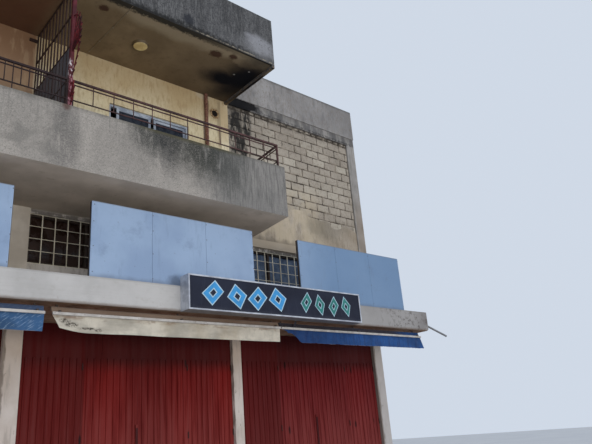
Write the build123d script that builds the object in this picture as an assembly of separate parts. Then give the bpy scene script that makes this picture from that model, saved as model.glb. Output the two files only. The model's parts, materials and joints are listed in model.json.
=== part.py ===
from build123d import *
import os

# A row apartment building of two shops to each side of a party column, in millimetres.
# X runs along the street front with 0 at the party column, Y runs back into the building
# with 0 at the plastered front, and Z is height above the street.

# Plan
bay = 4135
bays_each_side = 2
party_column_width = 280
middle_column_width = 200
column_depth = 300
column_projection = 75
building_depth = 9000
party_wall_thickness = 200
infill_thickness = 150
infill_recess = 40
mezzanine_recess = 50

# Storey heights, stacked from the street up
ground_slab_thickness = 100
shop_clear_height = 3520
floor_thickness = 180
strip_sill_height = 780
strip_window_height = 860
strip_lintel_height = 70
apartment_clear_height = 3167
roof_beam_depth = 215
parapet_height = 847
parapet_thickness = 175
parapet_projection = 25

# Canopy over the shops
canopy_reach = 1479
canopy_end_overhang = 166
canopy_edge_height = 409
canopy_edge_thickness = 120
canopy_corner_radius = 115
canopy_lip_radius = 50

# Shop doors
transom_height = 494
transom_thickness = 20
transoms_per_bay = 3
door_head_depth = 60
door_head_height = 50
door_bottom_gap = 12
door_thickness = 28
leaves_per_bay = 4
leaf_gap = 4
rib_pitch = 115
rib_width = 34
rib_height = 16
sheet_gap = 4
lock_bar_height = 1888
lock_bar_width = 40
lock_bar_thickness = 10

# Windows
frame_bar = 45
frame_depth = 60
frame_setback = 40
strip_lights = 4
glass_thickness = 6
rear_window_width = 1710
rear_window_sill_height = 910

# Balcony
balcony_reach = 1775
balcony_end_flare = 200
balcony_parapet_height = 843
balcony_parapet_thickness = 120

# Balcony doors, measured from the party column's face and from the floor
balcony_door_offset = 1305
balcony_door_width = 1755
balcony_door_height = 2250
sliding_leaf_width = 730
sliding_leaf_depth = 25
sliding_leaf_stile = 50
sliding_leaf_shift = 120

# Roof overhang
roof_reach = 1745
roof_end_setback = 25
fascia_height = 903
fascia_thickness = 120
drip_depth = 70
drip_width = 60

# Sheet panels on the canopy edge
panel_width = 3022
panel_height = 1176
panel_thickness = 20
sheets_per_panel = 3
post_leg = 50
post_wall = 5

# Sign box
sign_offset = 2057
sign_width = 3949
sign_drop = 13
sign_height = 571
sign_depth = 250
sign_lip = 24
sign_face_setback = 12
sign_face_thickness = 4

# Awnings, hung below the canopy's front edge
awning_bar_height = 38
awning_bar_depth = 30
awning_bar_drop = 128
awning_bar_setback = 64
awning_left_lap = 45
awning_right_lap = 130
awning_bracket = 25
awning_roll_diameter = 70
awning_roll_setback = 75
valance_drop = 237
valance_thickness = 12

# Balcony railing
rail_tube = 32
rail_height = 490
second_rail_drop = 74
lower_rail_height = 145
bar_width = 14
bar_thickness = 8
right_bar_pitch = 330
left_bar_pitch = 112
bars_to_parapet = 6
railing_inset = 70
railing_end_inset = 102
rail_post = 28

# Partition grille between the two flats
partition_x = 50
partition_post = 60
partition_bar = 22
partition_bar_count = 10
partition_rail_heights = (1360, 1960, 2560)
wall_tie_reach = 150
wall_tie_height = 60
wall_tie_drop = 97
upper_fan_height = 1170
upper_fan_reach = 300
upper_fan_bars = 11
lower_fan_height = 410
lower_fan_reach = 120
lower_fan_bars = 4
spike_fan_band = 20
spike_fan_widest = 0.66
spike_fan_root = 0.42
spike_thickness = 14
spike_root_width = 16
spike_rim_width = 36
spike_length = 58
spike_point = 6

# Small fittings
downpipe_offset = 400
downpipe_diameter = 80
lamp_offset = 1655
lamp_reach = 830
lamp_diameter = 320
lamp_height = 45
spout_diameter = 44
spout_length = 745
spout_direction = (0.94, -0.1, -0.34)
spout_rise = 170
seat = 0.3

# How far a cutting block runs past the faces that it cuts
cut_past = 1

# Values worked out from the ones above
half_width = bays_each_side * bay + party_column_width / 2
canopy_soffit = ground_slab_thickness + shop_clear_height
canopy_edge_top = canopy_soffit + canopy_edge_height
door_head = canopy_soffit - transom_height - door_head_height
mezzanine_floor_top = canopy_soffit + floor_thickness
strip_sill = mezzanine_floor_top + strip_sill_height
strip_head = strip_sill + strip_window_height
balcony_soffit = strip_head + strip_lintel_height
apartment_floor_top = balcony_soffit + floor_thickness
balcony_parapet_top = apartment_floor_top + balcony_parapet_height
balcony_half_width = bay + middle_column_width / 2
balcony_door_left = party_column_width / 2 + balcony_door_offset
balcony_door_right = balcony_door_left + balcony_door_width
balcony_door_head = apartment_floor_top + balcony_door_height
rail_top = balcony_parapet_top + rail_height
roof_soffit = apartment_floor_top + apartment_clear_height
roof_top = roof_soffit + roof_beam_depth
roof_half_width = balcony_half_width - roof_end_setback
parapet_top = roof_top + parapet_height
fascia_top = roof_top + fascia_height
column_back = column_depth - column_projection
rear_inside = building_depth - infill_thickness
column_lines = [
    (index * bay, middle_column_width if abs(index) == 1 else party_column_width)
    for index in range(-bays_each_side, bays_each_side + 1)
]
bay_spans = [
    (left_x + left_w / 2, right_x - right_w / 2)
    for (left_x, left_w), (right_x, right_w) in zip(column_lines, column_lines[1:])
]


def block(x0, x1, y0, y1, z0, z1):
    """A square-edged block between two corners."""
    centre = ((x0 + x1) / 2, (y0 + y1) / 2, (z0 + z1) / 2)
    return Pos(*centre) * Box(abs(x1 - x0), abs(y1 - y0), abs(z1 - z0))


def both_sides(solid):
    """The solid and its mirror image across the party line."""
    return [solid, mirror(solid, about=Plane.YZ)]


def rod(start, end, diameter):
    """A round bar from one point to another."""
    run = Vector(*end) - Vector(*start)
    plane = Plane(origin=start, z_dir=run)
    return extrude(plane * Circle(diameter / 2), run.length)


# Floors and roof slab
def floor_plate(bottom, top, front=0):
    return block(-half_width, half_width, front, building_depth, bottom, top)


def make_floors():
    return {
        "ground_slab": [floor_plate(0, ground_slab_thickness, -column_projection)],
        "mezzanine_floor": [floor_plate(canopy_soffit, mezzanine_floor_top)],
        "apartment_floor": [floor_plate(balcony_soffit, apartment_floor_top)],
        "roof_slab": [floor_plate(roof_soffit, roof_top)],
    }


# Columns
def columns(front, back, bottom, top):
    return [
        block(x - width / 2, x + width / 2, front, back, bottom, top)
        for x, width in column_lines
    ]


storeys = [
    (ground_slab_thickness, canopy_soffit),
    (mezzanine_floor_top, balcony_soffit),
    (apartment_floor_top, roof_soffit),
]


def make_columns():
    upper = [c for low, high in storeys[1:] for c in columns(0, column_back, low, high)]
    rear_front = building_depth - column_depth
    rear = [c for low, high in storeys for c in columns(rear_front, building_depth, low, high)]
    shop = columns(-column_projection, column_back, *storeys[0])
    return {"shop_columns": shop, "upper_columns": upper, "rear_columns": rear}


# Walls
def party_wall(side):
    outer = side * half_width
    inner = side * (half_width - party_wall_thickness)
    back = building_depth - column_depth
    return [block(inner, outer, column_back, back, low, high) for low, high in storeys]


def strip_wall(x0, x1, y0, y1):
    """The sill wall and the lintel of one strip window."""
    return [
        block(x0, x1, y0, y1, mezzanine_floor_top, strip_sill),
        block(x0, x1, y0, y1, strip_head, balcony_soffit),
    ]


def holed_wall(x0, x1, y0, y1, z0, z1, hole):
    """A wall with one rectangular opening cut right through it."""
    hole_x0, hole_x1, hole_z0, hole_z1 = hole
    wall = block(x0, x1, y0, y1, z0, z1)
    return wall - block(hole_x0, hole_x1, y0 - cut_past, y1 + cut_past, hole_z0, hole_z1)


def rear_window(x0, x1):
    centre = (x0 + x1) / 2
    half = rear_window_width / 2
    sill = apartment_floor_top + rear_window_sill_height
    return centre - half, centre + half, sill, balcony_door_head


def make_walls():
    mezzanine = []
    rear = []
    for x0, x1 in bay_spans:
        back = mezzanine_recess + infill_thickness
        mezzanine += strip_wall(x0, x1, mezzanine_recess, back)
        rear.append(block(x0, x1, rear_inside, building_depth, *storeys[0]))
        rear += strip_wall(x0, x1, rear_inside, building_depth)
        hole = rear_window(x0, x1)
        rear.append(holed_wall(x0, x1, rear_inside, building_depth, *storeys[2], hole))
    left, right = bay_spans[bays_each_side]
    floor = apartment_floor_top
    head = balcony_door_head
    pieces = [
        block(left, balcony_door_left, 0, infill_thickness, floor, roof_soffit),
        block(balcony_door_right, right, 0, infill_thickness, floor, roof_soffit),
    ]
    lintel = block(balcony_door_left, balcony_door_right, 0, infill_thickness, head, roof_soffit)
    front = [s for piece in pieces for s in both_sides(piece)]
    left, right = bay_spans[bays_each_side + 1]
    recess_back = infill_recess + infill_thickness
    infill = block(left, right, infill_recess, recess_back, floor, roof_soffit)
    return {
        "left_party_wall": party_wall(-1),
        "right_party_wall": party_wall(1),
        "mezzanine_front_wall": mezzanine,
        "apartment_front_wall": front,
        "balcony_door_lintels": both_sides(lintel),
        "block_infill": both_sides(infill),
        "rear_wall": rear,
    }


# Windows and balcony doors
def framed_light(x0, x1, front, z0, z1, lights):
    """A window frame with upright bars between its lights."""
    frame = block(x0, x1, front, front + frame_depth, z0, z1)
    step = (x1 - x0 - frame_bar) / lights
    for index in range(lights):
        left = x0 + frame_bar + index * step
        hole = block(left, left + step - frame_bar, front - cut_past, front + frame_depth + cut_past,
                     z0 + frame_bar, z1 - frame_bar)
        frame -= hole
    return frame


def glass_sheet(x0, x1, front, z0, z1):
    """One sheet that closes all the lights of a frame, against its back."""
    back = front + frame_depth
    return block(x0 + frame_bar / 2, x1 - frame_bar / 2, back, back + glass_thickness,
                 z0 + frame_bar / 2, z1 - frame_bar / 2)


def sliding_door():
    """A balcony door's frame with its two sliding leaves, the left one a little open."""
    low = apartment_floor_top
    high = balcony_door_head
    jamb = balcony_door_right - frame_bar
    door = framed_light(balcony_door_left, balcony_door_right, frame_setback, low, high, 1)
    panes = []
    tracks = (
        (balcony_door_left + frame_bar + sliding_leaf_shift, frame_setback),
        (jamb - sliding_leaf_width, frame_setback + frame_depth - sliding_leaf_depth),
    )
    for x0, front in tracks:
        x1 = x0 + sliding_leaf_width
        back = front + sliding_leaf_depth
        z0 = low + frame_bar
        z1 = high - frame_bar
        stile = sliding_leaf_stile
        hole = (x0 + stile, x1 - stile, z0 + stile, z1 - stile)
        door += holed_wall(x0, x1, front, back, z0, z1, hole)
        middle = (front + back - glass_thickness) / 2
        panes.append(block(x0 + stile, x1 - stile, middle, middle + glass_thickness,
                           z0 + stile, z1 - stile))
    return door, panes


def make_windows():
    frames = []
    glass = []
    strip_front = mezzanine_recess + frame_setback
    rear_front = rear_inside + frame_setback
    for x0, x1 in bay_spans:
        frames.append(framed_light(x0, x1, strip_front, strip_sill, strip_head, strip_lights))
        glass.append(glass_sheet(x0, x1, strip_front, strip_sill, strip_head))
        frames.append(framed_light(x0, x1, rear_front, strip_sill, strip_head, strip_lights))
        glass.append(glass_sheet(x0, x1, rear_front, strip_sill, strip_head))
        left, right, sill, head = rear_window(x0, x1)
        frames.append(framed_light(left, right, rear_front, sill, head, 2))
        glass.append(glass_sheet(left, right, rear_front, sill, head))
    door, panes = sliding_door()
    return {
        "window_frames": frames,
        "balcony_door_frames": both_sides(door),
        "window_glass": glass + [s for pane in panes for s in both_sides(pane)],
    }


# Canopy
def make_canopy():
    end = half_width + canopy_end_overhang
    inner = end - canopy_edge_thickness
    back_of_edge = -canopy_reach + canopy_edge_thickness
    slab = block(-inner, inner, back_of_edge, 0, canopy_soffit, mezzanine_floor_top)
    edge = block(-end, end, -canopy_reach, back_of_edge, canopy_soffit, canopy_edge_top)
    corners = edge.edges().filter_by(Axis.Z).group_by(Axis.Y)[0]
    edge = fillet(corners, canopy_corner_radius)
    lips = edge.edges().group_by(Axis.Z)[0].group_by(Axis.Y)[:-1]
    edge = fillet([lip for group in lips for lip in group], canopy_lip_radius)
    end_edge = block(inner, end, back_of_edge, 0, canopy_soffit, canopy_edge_top)
    end_lip = end_edge.edges().group_by(Axis.Z)[0].group_by(Axis.X)[-1]
    end_edge = fillet(end_lip, canopy_lip_radius)
    return {
        "canopy_slab": [slab],
        "canopy_front_edge": [edge],
        "canopy_end_edges": both_sides(end_edge),
    }


# Shop fronts
def door_leaf(x0, x1, carries_lock):
    """One steel leaf: a flat pan with upright pressed ribs on its street face."""
    top = door_head - seat
    bottom = ground_slab_thickness + door_bottom_gap
    ribs = int((x1 - x0) / rib_pitch)
    first = (x0 + x1) / 2 - (ribs - 1) * rib_pitch / 2
    slope = rib_height / 2
    outline = [(x1, door_thickness), (x0, door_thickness), (x0, 0)]
    for index in range(ribs):
        centre = first + index * rib_pitch
        half = rib_width / 2
        outline += [(centre - half, 0), (centre - half + slope, -rib_height),
                    (centre + half - slope, -rib_height), (centre + half, 0)]
    outline.append((x1, 0))
    face = Plane.XY.offset(bottom) * make_face(Polyline(*outline, close=True))
    leaf = extrude(face, top - bottom)
    if carries_lock:
        front = -rib_height - lock_bar_thickness
        leaf += block(x1 - lock_bar_width, x1, front, 0, bottom, bottom + lock_bar_height)
    return leaf


def make_shop_fronts():
    doors = []
    heads = []
    transoms = []
    for x0, x1 in bay_spans:
        width = (x1 - x0) / leaves_per_bay
        for index in range(leaves_per_bay):
            left = x0 + index * width + leaf_gap / 2
            lock = index == leaves_per_bay // 2 - 1
            doors.append(door_leaf(left, left + width - leaf_gap, lock))
        top = door_head + door_head_height
        heads.append(block(x0, x1, 0, door_head_depth, door_head, top))
        width = (x1 - x0) / transoms_per_bay
        for index in range(transoms_per_bay):
            left = x0 + index * width + sheet_gap / 2
            transoms.append(block(left, left + width - sheet_gap, 0, transom_thickness,
                                  top, canopy_soffit))
    return {"folding_doors": doors, "door_heads": heads, "transom_sheets": transoms}


# Balcony
def flared_end(y):
    """How far the balcony's end stands out at a depth: it opens a little towards the wall."""
    return balcony_half_width + balcony_end_flare * (y + balcony_reach) / balcony_reach


def plate(corners, bottom, top):
    """A level plate over an outline drawn in plan."""
    outline = make_face(Polyline(*corners, close=True))
    return extrude(Plane.XY.offset(bottom) * outline, top - bottom)


def make_balcony():
    front_y = -balcony_reach
    back_y = front_y + balcony_parapet_thickness
    front_x, back_x, wall_x, foot_x = (
        flared_end(y) for y in (front_y, back_y, 0, infill_recess)
    )
    floor = apartment_floor_top
    thickness = balcony_parapet_thickness
    slab = plate([(-front_x, front_y), (front_x, front_y), (wall_x, 0), (-wall_x, 0)],
                 balcony_soffit, floor)
    front = plate([(-front_x, front_y), (front_x, front_y), (back_x, back_y), (-back_x, back_y)],
                  floor, balcony_parapet_top)
    end = plate([(back_x - thickness, back_y), (back_x, back_y), (foot_x, infill_recess),
                 (foot_x - thickness, infill_recess)], floor, balcony_parapet_top)
    return {
        "balcony_slab": [slab],
        "balcony_front_parapet": [front],
        "balcony_end_parapets": both_sides(end),
    }


# Roof overhang and parapets
def make_roof_edges():
    half = roof_half_width
    inner = half - fascia_thickness
    back_of_front = -roof_reach + fascia_thickness
    overhang = block(-half, half, -roof_reach, 0, roof_soffit, roof_top)
    drip = block(half - drip_width, half, -roof_reach, 0, roof_soffit - drip_depth, roof_soffit)
    overhang += both_sides(drip)
    front = block(-half, half, -roof_reach, back_of_front, roof_top, fascia_top)
    end = block(inner, half, back_of_front, -parapet_projection, roof_top, fascia_top)
    side_in = half_width - parapet_thickness
    front_back = parapet_thickness - parapet_projection
    rear_front = building_depth - parapet_thickness
    wing = block(inner, side_in, -parapet_projection, front_back, roof_top, parapet_top)
    rear = block(-side_in, side_in, rear_front, building_depth, roof_top, parapet_top)
    side = block(side_in, half_width, -parapet_projection, building_depth, roof_top, parapet_top)
    return {
        "roof_overhang": [overhang],
        "roof_front_fascia": [front],
        "roof_end_fascias": both_sides(end),
        "cross_parapets": both_sides(wing) + [rear],
        "side_parapets": both_sides(side),
    }


# Sheet panels and sign on the canopy edge
def angle_post(x, direction, bottom, top, front):
    """An upright steel angle with one leg against the sheet and one running back."""
    leg = block(x, x + direction * post_leg, front, front + post_wall, bottom, top)
    web = block(x, x + direction * post_wall, front, front + post_leg, bottom, top)
    return leg + web


def make_panels():
    sheets = []
    posts = []
    front = -canopy_reach
    back = front + panel_thickness
    panel_top = canopy_edge_top + panel_height
    for number in range(-bays_each_side, bays_each_side):
        left = (number + 0.5) * bay - panel_width / 2
        width = panel_width / sheets_per_panel
        for index in range(sheets_per_panel):
            sheet_left = left + index * width + sheet_gap / 2
            sheets.append(block(sheet_left, sheet_left + width - sheet_gap, front, back,
                                canopy_edge_top, panel_top))
        for index in range(sheets_per_panel):
            posts.append(angle_post(left + index * width + sheet_gap / 2, 1,
                                    canopy_edge_top, panel_top, back))
        posts.append(angle_post(left + panel_width - sheet_gap / 2, -1,
                                canopy_edge_top, panel_top, back))
    return {"sheet_panels": sheets, "panel_posts": posts}


def make_sign():
    back = -canopy_reach
    front = back - sign_depth
    bottom = canopy_soffit - sign_drop
    top = bottom + sign_height
    right = sign_offset + sign_width
    box = block(sign_offset, right, front, back, bottom, top)
    sides = (sign_offset + sign_lip, right - sign_lip)
    heights = (bottom + sign_lip, top - sign_lip)
    depth = sign_face_setback + sign_face_thickness
    box -= block(*sides, front - cut_past, front + depth, *heights)
    face = block(*sides, front + sign_face_setback, front + depth, *heights)
    return {"sign_box": [box], "sign_face": [face]}


# Awnings
def make_awnings():
    frames = []
    rolls = []
    valances = []
    high = canopy_soffit - awning_bar_drop
    low = high - awning_bar_height
    front = -canopy_reach + awning_bar_setback
    back = front + awning_bar_depth
    roll_y = back + awning_roll_setback
    hanger_front = roll_y + awning_roll_diameter / 2 + seat
    hanger_back = hanger_front + awning_bracket
    for x0, x1 in bay_spans:
        left = x0 - awning_left_lap
        right = x1 + awning_right_lap
        frame = block(left, right, front, back, low, high)
        hangers = (left + awning_bracket * 4, (left + right) / 2, right - awning_bracket * 4)
        arm_half = awning_bracket / 2
        for x in hangers:
            frame += block(x - arm_half, x + arm_half, front, hanger_back, high,
                           high + awning_bracket)
            frame += block(x - arm_half, x + arm_half, hanger_front, hanger_back, high,
                           canopy_soffit)
        frames.append(frame)
        roll_z = high + awning_bracket + awning_roll_diameter / 2
        rolls.append(rod((left, roll_y, roll_z), (right, roll_y, roll_z),
                         awning_roll_diameter))
        valances.append(block(left, right, back, back + valance_thickness,
                              low - valance_drop, high))
    return {"awning_frames": frames, "awning_rolls": rolls, "awning_valances": valances}


# Balcony railing
def flat_railing(x0, x1, pitch):
    """Rails, end posts and flat upright bars along the front parapet, as one lattice."""
    y = -balcony_reach + railing_inset
    half = rail_tube / 2
    second = rail_top - second_rail_drop
    lower = balcony_parapet_top + lower_rail_height
    lattice = block(x0, x1, y - half, y + half, rail_top - rail_tube, rail_top)
    lattice += block(x0, x1, y - half / 2, y + half / 2, second - half, second)
    lattice += block(x0, x1, y - half / 2, y + half / 2, lower - half, lower)
    for x in (x0 + rail_post / 2, x1 - rail_post / 2):
        lattice += block(x - rail_post / 2, x + rail_post / 2, y - half, y + half,
                         balcony_parapet_top, rail_top - rail_tube)
    count = int((x1 - x0) / pitch)
    for index in range(1, count):
        x = x0 + index * (x1 - x0) / count
        foot = balcony_parapet_top if index % bars_to_parapet == 0 else lower - half
        lattice += block(x - bar_width / 2, x + bar_width / 2, y - bar_thickness / 2,
                         y + bar_thickness / 2, foot, rail_top - rail_tube)
    return lattice


def slanted_rail(y0, y1, width, bottom, top):
    """A rail over the flared end parapet, between two depths."""
    x0 = flared_end(y0) - railing_end_inset
    x1 = flared_end(y1) - railing_end_inset
    half = width / 2
    return plate([(x0 - half, y0), (x0 + half, y0), (x1 + half, y1), (x1 - half, y1)],
                 bottom, top)


def end_railing():
    """The railing's return from the front corner to the wall."""
    y0 = -balcony_reach + railing_inset + rail_tube / 2
    y1 = infill_recess
    half = rail_tube / 2
    second = rail_top - second_rail_drop
    lower = balcony_parapet_top + lower_rail_height
    lattice = slanted_rail(y0, y1, rail_tube, rail_top - rail_tube, rail_top)
    lattice += slanted_rail(y0, y1, half, second - half, second)
    lattice += slanted_rail(y0, y1, half, lower - half, lower)
    count = int((y1 - y0) / right_bar_pitch)
    for index in range(1, count):
        y = y0 + index * (y1 - y0) / count
        lattice += slanted_rail(y - bar_width / 2, y + bar_width / 2, bar_thickness,
                                balcony_parapet_top, rail_top - rail_tube)
    return lattice


def make_railings():
    end = balcony_half_width - railing_end_inset + rail_tube / 2
    gap = partition_post / 2
    right = flat_railing(partition_x + gap, end, right_bar_pitch)
    left = flat_railing(-end, partition_x - gap, left_bar_pitch)
    return {
        "balcony_railing_right": [right],
        "balcony_railing_left": [left],
        "balcony_railing_ends": both_sides(end_railing()),
    }


# Partition grille between the flats

def spike(start, rim, root_width):
    """A flat pointed blade in a sketch, widest where it crosses the bow's rim."""
    along = (rim - start).normalized()
    side = Vector(-along.Y, along.X)
    tip = rim + along * spike_length
    half_widths = ((start, root_width / 2), (rim, spike_rim_width / 2), (tip, spike_point / 2))
    corners = [point + side * half for point, half in half_widths]
    corners += [point - side * half for point, half in reversed(half_widths)]
    return make_face(Polyline(*corners, close=True))


def bow_arcs(post_front, bottom, top, widest, reach):
    """The two arcs of a bow, from its widest point down to its foot and up to its head."""
    bulge = (post_front - reach, widest)
    lower = TangentArc(bulge, (post_front, bottom), tangent=(0, -1))
    upper = TangentArc(bulge, (post_front, top), tangent=(0, 1))
    return lower, upper


def spike_fan(x, post_front, bottom, height, reach, count):
    """A bowed flat band on the post's street side: blades fan out past its upper part from
    one root on the post, and short points stand along its lower part."""
    top = bottom + height
    widest = bottom + height * spike_fan_widest
    band = spike_fan_band
    lower, upper = bow_arcs(post_front, bottom, top, widest, reach)
    inner_lower, inner_upper = bow_arcs(post_front, bottom + band, top - band, widest,
                                        reach - band)
    ends = [Line(lower @ 1, inner_lower @ 1), Line(upper @ 1, inner_upper @ 1)]
    bow = make_face([lower, upper, inner_lower, inner_upper, *ends])
    plane = Plane(origin=(x - spike_thickness / 2, 0, 0), x_dir=(0, 1, 0), z_dir=(1, 0, 0))
    fan = extrude(plane * bow, spike_thickness)
    root = Vector(post_front, bottom + height * spike_fan_root)
    for index in range(count):
        place = (index + 1) / (count + 1)
        if place < spike_fan_widest:
            rim = lower @ (1 - place / spike_fan_widest)
        else:
            rim = upper @ ((place - spike_fan_widest) / (1 - spike_fan_widest))
        if place > spike_fan_root:
            blade = spike(root, rim, spike_root_width)
        else:
            blade = spike(rim + Vector(band, -band * place), rim, spike_rim_width)
        fan += extrude(plane * blade, spike_thickness)
    half = spike_thickness / 2
    return fan - block(x - half, x + half, post_front, post_front + partition_post, bottom, top)


def make_partition():
    x = partition_x
    y0 = -balcony_reach + railing_inset - partition_post / 2
    half = partition_bar / 2
    bottom = apartment_floor_top
    rails = [bottom + height for height in partition_rail_heights]
    inner_front = -balcony_reach + balcony_parapet_thickness
    post_half = partition_post / 2
    grille = block(x - post_half, x + post_half, y0, y0 + partition_post,
                   balcony_parapet_top, roof_soffit)
    run = -y0 - partition_post
    for z in (*rails, roof_soffit - partition_bar):
        grille += block(x - half, x + half, y0 + partition_post / 2, 0, z, z + partition_bar)
    for index in range(partition_bar_count):
        y = y0 + partition_post + (index + 1) * run / (partition_bar_count + 1)
        foot = bottom if y > inner_front + half else balcony_parapet_top
        grille += block(x - half, x + half, y - half, y + half, foot, roof_soffit)
    grille += block(x - half, x + half, -partition_bar, 0, bottom, roof_soffit)
    tie_top = roof_soffit - wall_tie_drop
    grille += block(x - wall_tie_reach, x, -partition_bar, 0, tie_top - wall_tie_height, tie_top)
    grille += block(x - half / 2, x + half / 2, inner_front, 0, bottom, rails[1])
    fans = [
        spike_fan(x, y0, rail_top, upper_fan_height, upper_fan_reach, upper_fan_bars),
        spike_fan(x, y0, balcony_parapet_top, lower_fan_height, lower_fan_reach, lower_fan_bars),
    ]
    return {"partition_grille": [grille], "partition_spikes": fans}


# Small fittings
def make_fittings():
    pipe_x = bay - middle_column_width / 2 - downpipe_offset
    pipe_y = -downpipe_diameter / 2
    pipe = rod((pipe_x, pipe_y, apartment_floor_top), (pipe_x, pipe_y, roof_soffit),
               downpipe_diameter)
    lamp = Pos(lamp_offset, -lamp_reach, roof_soffit) * Rot(180, 0, 0) * extrude(
        Circle(lamp_diameter / 2), lamp_height, taper=35)
    end = half_width + canopy_end_overhang
    start = Vector(end, -canopy_reach + canopy_edge_thickness + spout_diameter,
                   canopy_soffit + spout_rise)
    run = Vector(*spout_direction).normalized() * spout_length
    spout = rod(start - run * 0.1, start + run, spout_diameter)
    spout -= block(end - spout_length, end, -canopy_reach, 0, 0, canopy_edge_top)
    return {
        "downpipes": both_sides(pipe),
        "ceiling_lamps": both_sides(lamp),
        "rain_spouts": both_sides(spout),
    }


def write_parts():
    os.makedirs("parts", exist_ok=True)
    nodes = {}
    for make in (make_floors, make_columns, make_walls, make_windows, make_canopy,
                 make_shop_fronts, make_balcony, make_roof_edges, make_panels, make_sign,
                 make_awnings, make_railings, make_partition, make_fittings):
        nodes.update(make())
    for name, pieces in nodes.items():
        solids = [solid for piece in pieces for solid in piece.solids()]
        shape = solids[0] if len(solids) == 1 else Compound(children=solids)
        shape.label = name
        export_step(shape, f"parts/{name}.step")


write_parts()
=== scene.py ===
import json
import math
import random
from functools import partial, reduce

import bmesh
import bpy
from bpy.props import BoolProperty, FloatProperty, FloatVectorProperty, IntProperty, PointerProperty
from mathutils import Matrix, Vector, noise

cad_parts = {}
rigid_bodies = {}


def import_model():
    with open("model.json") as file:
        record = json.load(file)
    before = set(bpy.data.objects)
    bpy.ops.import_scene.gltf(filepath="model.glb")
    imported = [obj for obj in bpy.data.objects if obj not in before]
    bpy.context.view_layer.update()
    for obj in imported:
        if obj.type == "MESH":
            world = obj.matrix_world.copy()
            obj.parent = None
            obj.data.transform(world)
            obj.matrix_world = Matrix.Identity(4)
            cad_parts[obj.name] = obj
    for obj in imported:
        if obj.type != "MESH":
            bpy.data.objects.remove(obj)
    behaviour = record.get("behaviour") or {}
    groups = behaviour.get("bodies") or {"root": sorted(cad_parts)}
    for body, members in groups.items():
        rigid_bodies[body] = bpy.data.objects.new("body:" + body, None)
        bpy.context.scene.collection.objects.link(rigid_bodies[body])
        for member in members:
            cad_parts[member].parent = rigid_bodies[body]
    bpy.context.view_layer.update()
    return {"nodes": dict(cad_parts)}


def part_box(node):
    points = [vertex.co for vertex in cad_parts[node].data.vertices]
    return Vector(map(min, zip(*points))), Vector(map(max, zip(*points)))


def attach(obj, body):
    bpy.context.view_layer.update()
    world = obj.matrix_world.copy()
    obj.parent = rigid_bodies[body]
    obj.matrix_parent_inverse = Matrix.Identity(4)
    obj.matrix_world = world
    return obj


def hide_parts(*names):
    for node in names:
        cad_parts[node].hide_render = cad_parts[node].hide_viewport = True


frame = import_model()
nodes = frame["nodes"]

bl_info = {
    "name": "Row Apartment Building Dressing",
    "version": (1, 0, 0),
    "blender": (4, 5, 0),
    "location": "View3D > Sidebar > Building",
    "description": "Adds block walls, grilles, awnings, a sign and weathered finishes",
    "category": "Object",
}

# Bay lines, heights and faces of the frame, in metres
BAYS = ((-8.130, -4.235), (-4.035, -0.140), (0.140, 4.035), (4.235, 8.130))
INFILL_BAYS = (BAYS[0], BAYS[3])
BAY_PITCH = 4.135
FLOOR_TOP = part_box("apartment_floor")[1].z
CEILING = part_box("roof_slab")[0].z
INFILL_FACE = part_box("block_infill")[0].y
REAR_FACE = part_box("rear_wall")[1].y
MEZZANINE_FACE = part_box("mezzanine_front_wall")[0].y
STRIP_SILL = 4.580
STRIP_HEAD = 5.440
FASCIA_FACE = -1.745
OVERHANG = 8.857
PARAPET_FACE = -1.775
PARAPET_TOP = 6.533
PANEL_FACE = -1.479
CLOTH_FACE = -1.381
CLOTH_TOP = 3.490
LAMP_X = 1.655
LAMP_Y = -0.830
WALL_HOLE = Vector((3.880, 0.0, 8.472))

# Camera: its place, its three directions and its lens in millimetres
CAMERA_PLACE = Vector((-2.8369, -9.6414, 1.65))
CAMERA_RIGHT = Vector((0.75145706, -0.6550261, -0.07907646))
CAMERA_UP = Vector((-0.1636072, -0.30110591, 0.93945086))
CAMERA_AHEAD = Vector((0.63917522, 0.6930195, 0.33343516))
CAMERA_LENS = 36.2962


def linear(red, green, blue):
    """A colour picked as 0 to 255 screen values, turned into the values a shader takes."""
    def channel(value):
        value /= 255
        return value / 12.92 if value <= 0.04045 else ((value + 0.055) / 1.055) ** 2.4
    return channel(red), channel(green), channel(blue), 1.0


def swatch(name, description, *screen):
    """A colour setting whose default is given as 0 to 255 screen values."""
    return FloatVectorProperty(name=name, description=description, subtype="COLOR", size=4,
                               min=0.0, max=1.0, default=linear(*screen))


def metres(name, description, default):
    """A size in metres."""
    return FloatProperty(name=name, description=description, default=default, min=0.0,
                         unit="LENGTH")


def watts(name, description, default):
    """The power of a lamp."""
    return FloatProperty(name=name, description=description, default=default, unit="POWER")


def shade(tone, share):
    """A shader colour made darker."""
    return tuple(value * share for value in tone[:3]) + (1.0,)


def clamp(value):
    """A value kept between 0 and 1."""
    return max(0.0, min(1.0, value))


class BlockWallSettings(bpy.types.PropertyGroup):
    """Sizes of the bare concrete blocks."""
    block_length: metres("Block Length", "One block with its joint", 0.40)
    course_height: metres("Course Height", "One course with its joint", 0.205)
    joint: metres("Joint", "Width of the open joint between blocks", 0.012)
    proud: metres("Proud", "How far a block's face stands out of its bed", 0.013)
    roughness: metres("Face Relief", "Depth of the pitted block face", 0.003)
    seed: IntProperty(name="Seed", description="Picks the pattern of worn blocks", default=7)


class PlasterSettings(bpy.types.PropertyGroup):
    """The thin plaster coat over the lowest courses."""
    thickness: metres("Thickness", "How far the plaster stands out of its bed", 0.019)
    top_left: metres("Height Near Flats", "Top of the coat beside the flats", 6.72)
    top_right: metres("Height At End", "Top of the coat at the building's end", 6.42)
    raggedness: metres("Raggedness", "How much the torn top edge varies", 0.16)


class GrilleSettings(bpy.types.PropertyGroup):
    """Square bar grilles in front of the strip windows."""
    cell: metres("Cell", "Distance between the bars", 0.215)
    bar: metres("Bar", "Thickness of one square bar", 0.016)
    stand_off: metres("Stand Off", "Gap from the wall face back to the bars", 0.012)


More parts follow.
